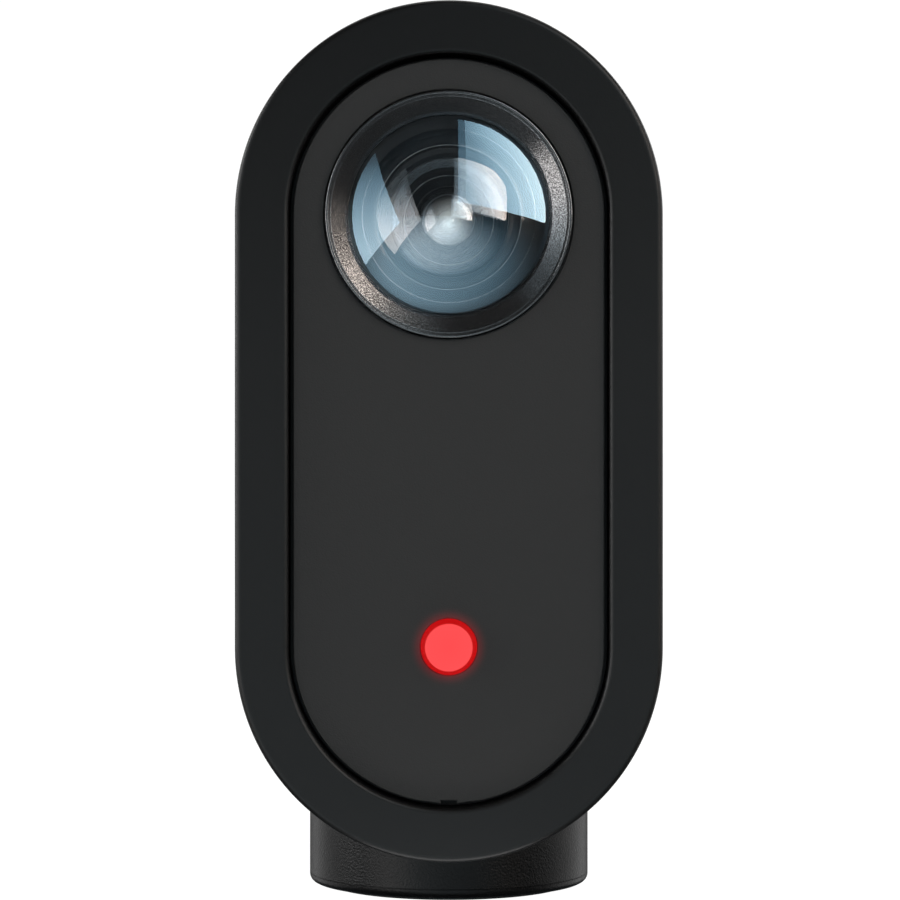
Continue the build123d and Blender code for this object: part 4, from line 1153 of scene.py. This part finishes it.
COOL, PLAIN = (0.72, 0.9, 1.0), (1.0, 1.0, 1.0)
softbox(
    "softbox_right",
    facing((0.15, 0.165), (1.3, -0.015), (1.4, 0.3), (1.6, 1.0), (1.3, 1.42), (0.21, 1.6)),
    ((1.0, 0.87, 0.77), 14.0),
    ((0.78, 0.93, 1.0), 3.2),
    facing((0.3, 0.25), (1.2, 0.35)),
)
softbox(
    "softbox_right_edge",
    facing((0.079, 0.172), (0.15, 0.165), (0.21, 1.6), (0.125, 1.6)),
    (COOL, 2.2),
    ((0.62, 0.86, 1.0), 1.3),
    facing((0.1, 1.0), (0.1, 0.2)),
)
softbox(
    "softbox_left",
    facing((-0.455, -0.005), (-1.25, 1.54), (-2.7, 0.5), (-2.2, -0.5), (-1.45, -0.91)),
    ((1.0, 0.97, 0.95), 7.0),
    (COOL, 0.85),
    facing((-0.9, 0.75), (-1.0, -0.3)),
)
BOUNCE_DISTANCE = 0.62
softbox(
    "table_bounce",
    facing((-1.5, 0.05), (1.2, 0.05), (1.2, -1.3), (-1.5, -1.3), distance=BOUNCE_DISTANCE),
    ((0.86, 0.96, 1.0), 3.2),
    ((0.7, 0.9, 1.0), 0.7),
    facing((0.9, -0.2), (-0.6, -0.5), distance=BOUNCE_DISTANCE),
    (facing((-0.1, -0.52), distance=BOUNCE_DISTANCE)[0], (0.84, 1.0, 0.48)),
)
# Upright panels at both sides: name, depths, heights, and the strengths on the left and on the right.
for name, (near, far), (low, high), strengths in (
    ("strip", (-0.34, 0.08), (0.0, 0.7), (17.0, 5.0)),
    ("side", (0.15, 0.6), (0.05, 0.6), (2.5, 3.0)),
    ("low", (0.1, 1.9), (-0.6, -0.02), (1.3, 1.55)),
):
    for side, x, strength in zip(("_left", "_right"), (-1.0, 1.0), strengths):
        corners = [(x, near, low), (x, far, low), (x, far, high), (x, near, high)]
        softbox(name + side, corners, (PLAIN, strength))
# A small card under the body's front edge, then panels behind and over the object.
edge_card = [(-0.01, -0.0495, 0.001), (0.01, -0.0495, 0.001), (0.01, -0.0445, 0.001), (-0.01, -0.0445, 0.001)]
for name, corners, strength in (
    ("edge_card", edge_card, 9.0),
    ("back_left", [(-1.0, 0.7, 0.05), (-0.25, 1.0, 0.05), (-0.25, 1.0, 0.8), (-1.0, 0.7, 0.8)], 3.0),
    ("back_right", [(0.35, 1.0, 0.1), (1.0, 0.6, 0.1), (1.0, 0.6, 0.9), (0.35, 1.0, 0.9)], 5.0),
    ("overhead", [(-0.4, 0.0, 0.9), (0.4, 0.0, 0.9), (0.4, 0.7, 0.9), (-0.4, 0.7, 0.9)], 3.0),
):
    softbox(name, corners, (PLAIN, strength))


def studio_air():
    """White surroundings for the camera, and a dim room, lighter near the floor, for reflections."""
    world = bpy.data.worlds.new("studio_air")
    world.use_nodes = True
    tree = world.node_tree
    tree.nodes.clear()
    seen = add(tree, "Background", Color=(1, 1, 1), Strength=1.05)
    sky = add(tree, "TexCoord").outputs["Generated"]
    lower = ramp(tree, along_axis(tree, sky, "Z"), 0.0, -0.7)
    tone = mixed(tree, lower, (1, 1, 1), (0.75, 0.9, 1.0))
    strength = ramp(tree, lower, 0.0, 1.0, 0.05, 0.1)
    room = add(tree, "Background", Color=tone, Strength=strength)
    blended_shader(tree, add(tree, "OutputWorld"), seen.outputs[0], room.outputs[0])
    bpy.context.scene.world = world


studio_air()


def front_camera():
    """Camera straight in front of the middle of the body, shifted down to take in the foot."""
    distance, picture_width = 0.2507, 71.34364 * MM
    data = bpy.data.cameras.new("front_camera")
    data.sensor_width = 36.0
    data.lens = data.sensor_width * distance / picture_width
    data.shift_x, data.shift_y = 0.0013, -0.0207
    data.clip_start, data.clip_end = 0.01, 100.0
    camera = linked("front_camera", data)
    camera.location = (0.0, FRONT_Y - distance, (HIGH_Z + LOW_Z) / 2)
    camera.rotation_euler = (radians(90), 0, 0)
    bpy.context.scene.camera = camera


front_camera()
bpy.context.scene.view_settings.view_transform = "Standard"
